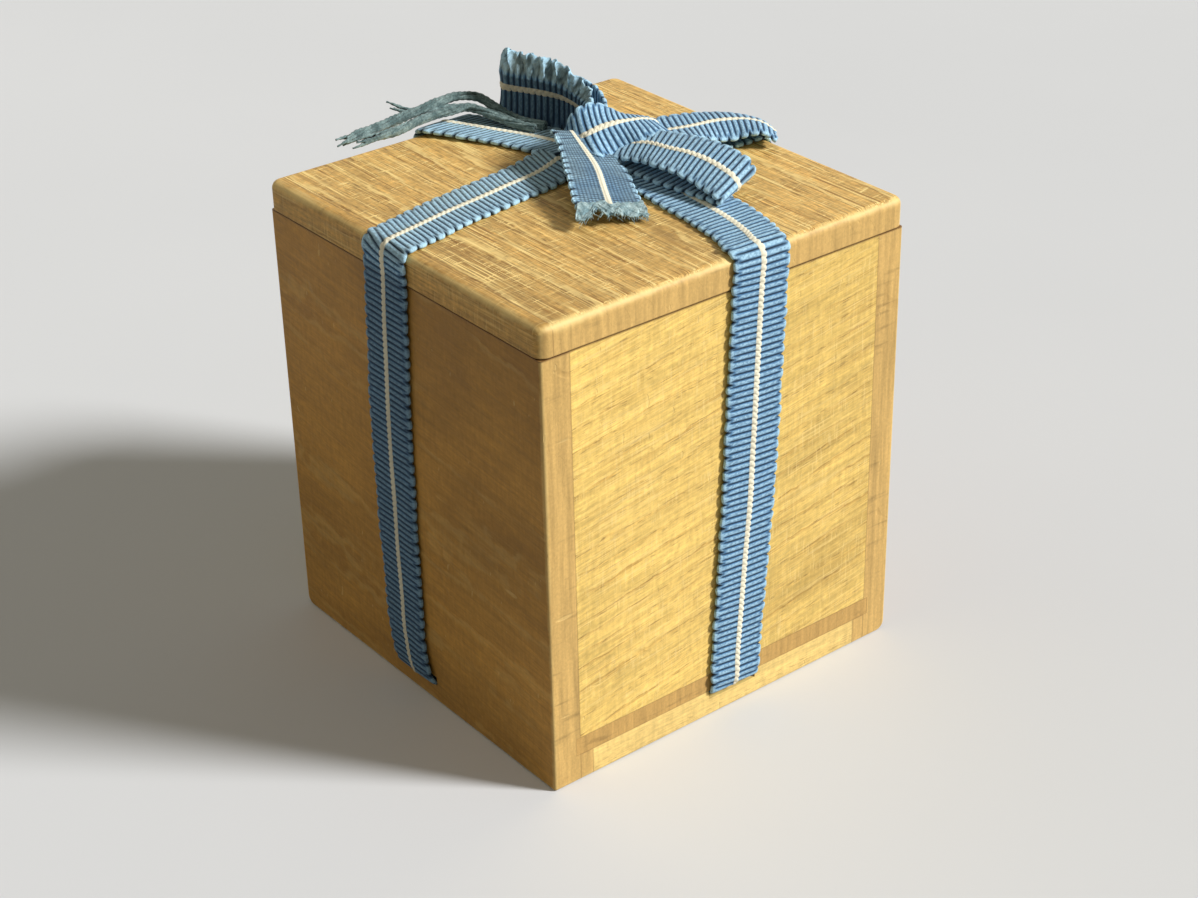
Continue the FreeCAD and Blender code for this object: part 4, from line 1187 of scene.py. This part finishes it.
def make_floor():
    """Flat square sheet of paper, a grid of quads."""
    steps = np.linspace(-FLOOR_REACH, FLOOR_REACH, 9)
    x, y = np.meshgrid(steps, steps, indexing="ij")
    grid = np.arange(x.size).reshape(x.shape)
    quads = np.stack([grid[:-1, :-1], grid[1:, :-1], grid[1:, 1:], grid[:-1, 1:]], axis=-1).reshape(-1, 4)
    floor = mesh_object("floor", np.stack([x, y, 0 * x], -1), quads)
    floor.data.materials.append(floor_material())


def add_lamp(name, kind, place, colour, **settings):
    """Lamp of a kind that looks at the middle of the box."""
    data = bpy.data.lights.new(name, kind)
    data.color = colour
    for label, value in settings.items():
        setattr(data, label, value)
    lamp = bpy.data.objects.new(name, data)
    place = Vector(place)
    lamp.matrix_world = Matrix.Translation(place) @ (place - AIM).to_track_quat("Z", "Y").to_matrix().to_4x4()
    bpy.context.scene.collection.objects.link(lamp)


def make_world():
    """Warm, dim light all round that looks plain and pale to the camera."""
    world = bpy.data.worlds.new("studio")
    bpy.context.scene.world = world
    world.use_nodes = True
    tree = world.node_tree
    light = tree.nodes["Background"]
    set_inputs(light, Color=plain(WORLD_LIGHT), Strength=WORLD_STRENGTH)
    seen = add_node(tree, "Background", {"Color": plain(WORLD_SEEN)})
    both = add_node(tree, "MixShader", {0: seen_ray(tree), 1: Value(light.outputs[0]), 2: seen})
    set_inputs(tree.nodes["World Output"], Surface=both)


def make_camera():
    """Camera whose back axis is (sin A cos E, -cos A cos E, sin E), rolled about that axis."""
    stage = bpy.context.scene.caddy_stage
    a, e, roll = (math.radians(v) for v in (stage.azimuth, stage.elevation, stage.roll))
    back = Vector((math.sin(a) * math.cos(e), -math.cos(a) * math.cos(e), math.sin(e)))
    level = Vector((math.cos(a), math.sin(a), 0))
    upright = back.cross(level)
    right = level * math.cos(roll) + upright * math.sin(roll)
    up = upright * math.cos(roll) - level * math.sin(roll)
    data = bpy.data.cameras.new("camera")
    data.sensor_fit, data.sensor_width, data.lens, data.clip_start = "HORIZONTAL", 36.0, stage.lens, 0.01
    camera = bpy.data.objects.new("camera", data)
    turn = Matrix((right, up, back)).transposed().to_4x4()
    camera.matrix_world = Matrix.Translation(Vector(stage.camera_place)) @ turn
    bpy.context.scene.collection.objects.link(camera)
    bpy.context.scene.camera = camera


# Operators

class FinishWood(bpy.types.Operator):
    """Give every board, strip, rail and batten its paulownia"""

    bl_idname = "caddy_box.finish_wood"
    bl_label = "Finish the wood"

    def execute(self, context):
        for node in BOARDS:
            dress(node, wood_material(node))
        return {"FINISHED"}


class FinishLacquer(bpy.types.Operator):
    """Give the tea caddy its black lacquer"""

    bl_idname = "caddy_box.finish_lacquer"
    bl_label = "Finish the lacquer"

    def execute(self, context):
        dress("caddy_body", lacquer_material("lacquer_body", (0.05, 0.02, 0.012), 0.35))
        dress("caddy_lid", lacquer_material("lacquer_lid", (0.06, 0.025, 0.015), 0.5))
        return {"FINISHED"}


class TieTape(bpy.types.Operator):
    """Lay the tape under the box, up its four walls and over the lid"""

    bl_idname = "caddy_box.tie_tape"
    bl_label = "Tie the tape"

    def execute(self, context):
        make_under_run("tape_under_across", LEVEL_ACROSS, 1.2, 0, 11.0)
        make_under_run("tape_under_along", LEVEL_ALONG, 1.3, 90, 12.0)
        for name in ARMS:
            make_arm(name)
        return {"FINISHED"}


class TieBow(bpy.types.Operator):
    """Make the knot, its wrap, the two loops and the two tails"""

    bl_idname = "caddy_box.tie_bow"
    bl_label = "Tie the bow"

    def execute(self, context):
        make_core()
        fringe = make_fringe()
        for name in BOW:
            make_bow_band(name)
        return {"FINISHED"}


class FrayStrands(bpy.types.Operator):
    """Pull the loose yarns out of the worn end"""

    bl_idname = "caddy_box.fray_strands"
    bl_label = "Fray the strands"

    def execute(self, context):
        make_strands()
        return {"FINISHED"}


class SetStage(bpy.types.Operator):
    """Set the floor, the lights and the camera"""

    bl_idname = "caddy_box.set_stage"
    bl_label = "Set the stage"

    def execute(self, context):
        make_floor()
        make_world()
        add_lamp("key", "SUN", (0.98, 0.84, 0.93), (1.0, 0.985, 0.965), energy=4.05, angle=math.radians(12.0))
        add_lamp("fill", "AREA", (-0.9, -1.0, 1.2), (1.0, 0.93, 0.78),
                 energy=2.4, shape="RECTANGLE", size=1.4, size_y=1.2)
        make_camera()
        context.scene.view_settings.view_transform = "Standard"
        return {"FINISHED"}


class CaddyBoxPanel(bpy.types.Panel):
    """Pieces, finishes and stage of the tied box"""

    bl_idname = "VIEW3D_PT_caddy_box"
    bl_label = "Tied Caddy Box"
    bl_space_type = "VIEW_3D"
    bl_region_type = "UI"
    bl_category = "Caddy Box"

    def draw(self, context):
        layout, scene = self.layout, context.scene
        for operator in OPERATORS:
            layout.operator(operator.bl_idname)
        for label, settings in (("Tape", scene.caddy_tape), ("Wood", scene.caddy_wood),
                                ("Lacquer", scene.caddy_lacquer), ("Stage", scene.caddy_stage)):
            box = layout.box()
            box.label(text=label)
            for name in settings.bl_rna.properties.keys():
                if name not in {"rna_type", "name"}:
                    box.prop(settings, name)


SETTINGS = {"caddy_tape": TapeSettings, "caddy_wood": WoodSettings, "caddy_lacquer": LacquerSettings,
            "caddy_stage": StageSettings}
OPERATORS = (FinishWood, FinishLacquer, TieTape, TieBow, FrayStrands, SetStage)


def register():
    for item in (*SETTINGS.values(), *OPERATORS, CaddyBoxPanel):
        bpy.utils.register_class(item)
    for name, kind in SETTINGS.items():
        setattr(bpy.types.Scene, name, PointerProperty(type=kind))


def unregister():
    for name in SETTINGS:
        delattr(bpy.types.Scene, name)
    for item in reversed((*SETTINGS.values(), *OPERATORS, CaddyBoxPanel)):
        bpy.utils.unregister_class(item)


def main():
    register()
    bpy.ops.caddy_box.finish_wood()
    bpy.ops.caddy_box.finish_lacquer()
    bpy.ops.caddy_box.tie_tape()
    bpy.ops.caddy_box.tie_bow()
    bpy.ops.caddy_box.fray_strands()
    bpy.ops.caddy_box.set_stage()


if __name__ == "__main__":
    main()
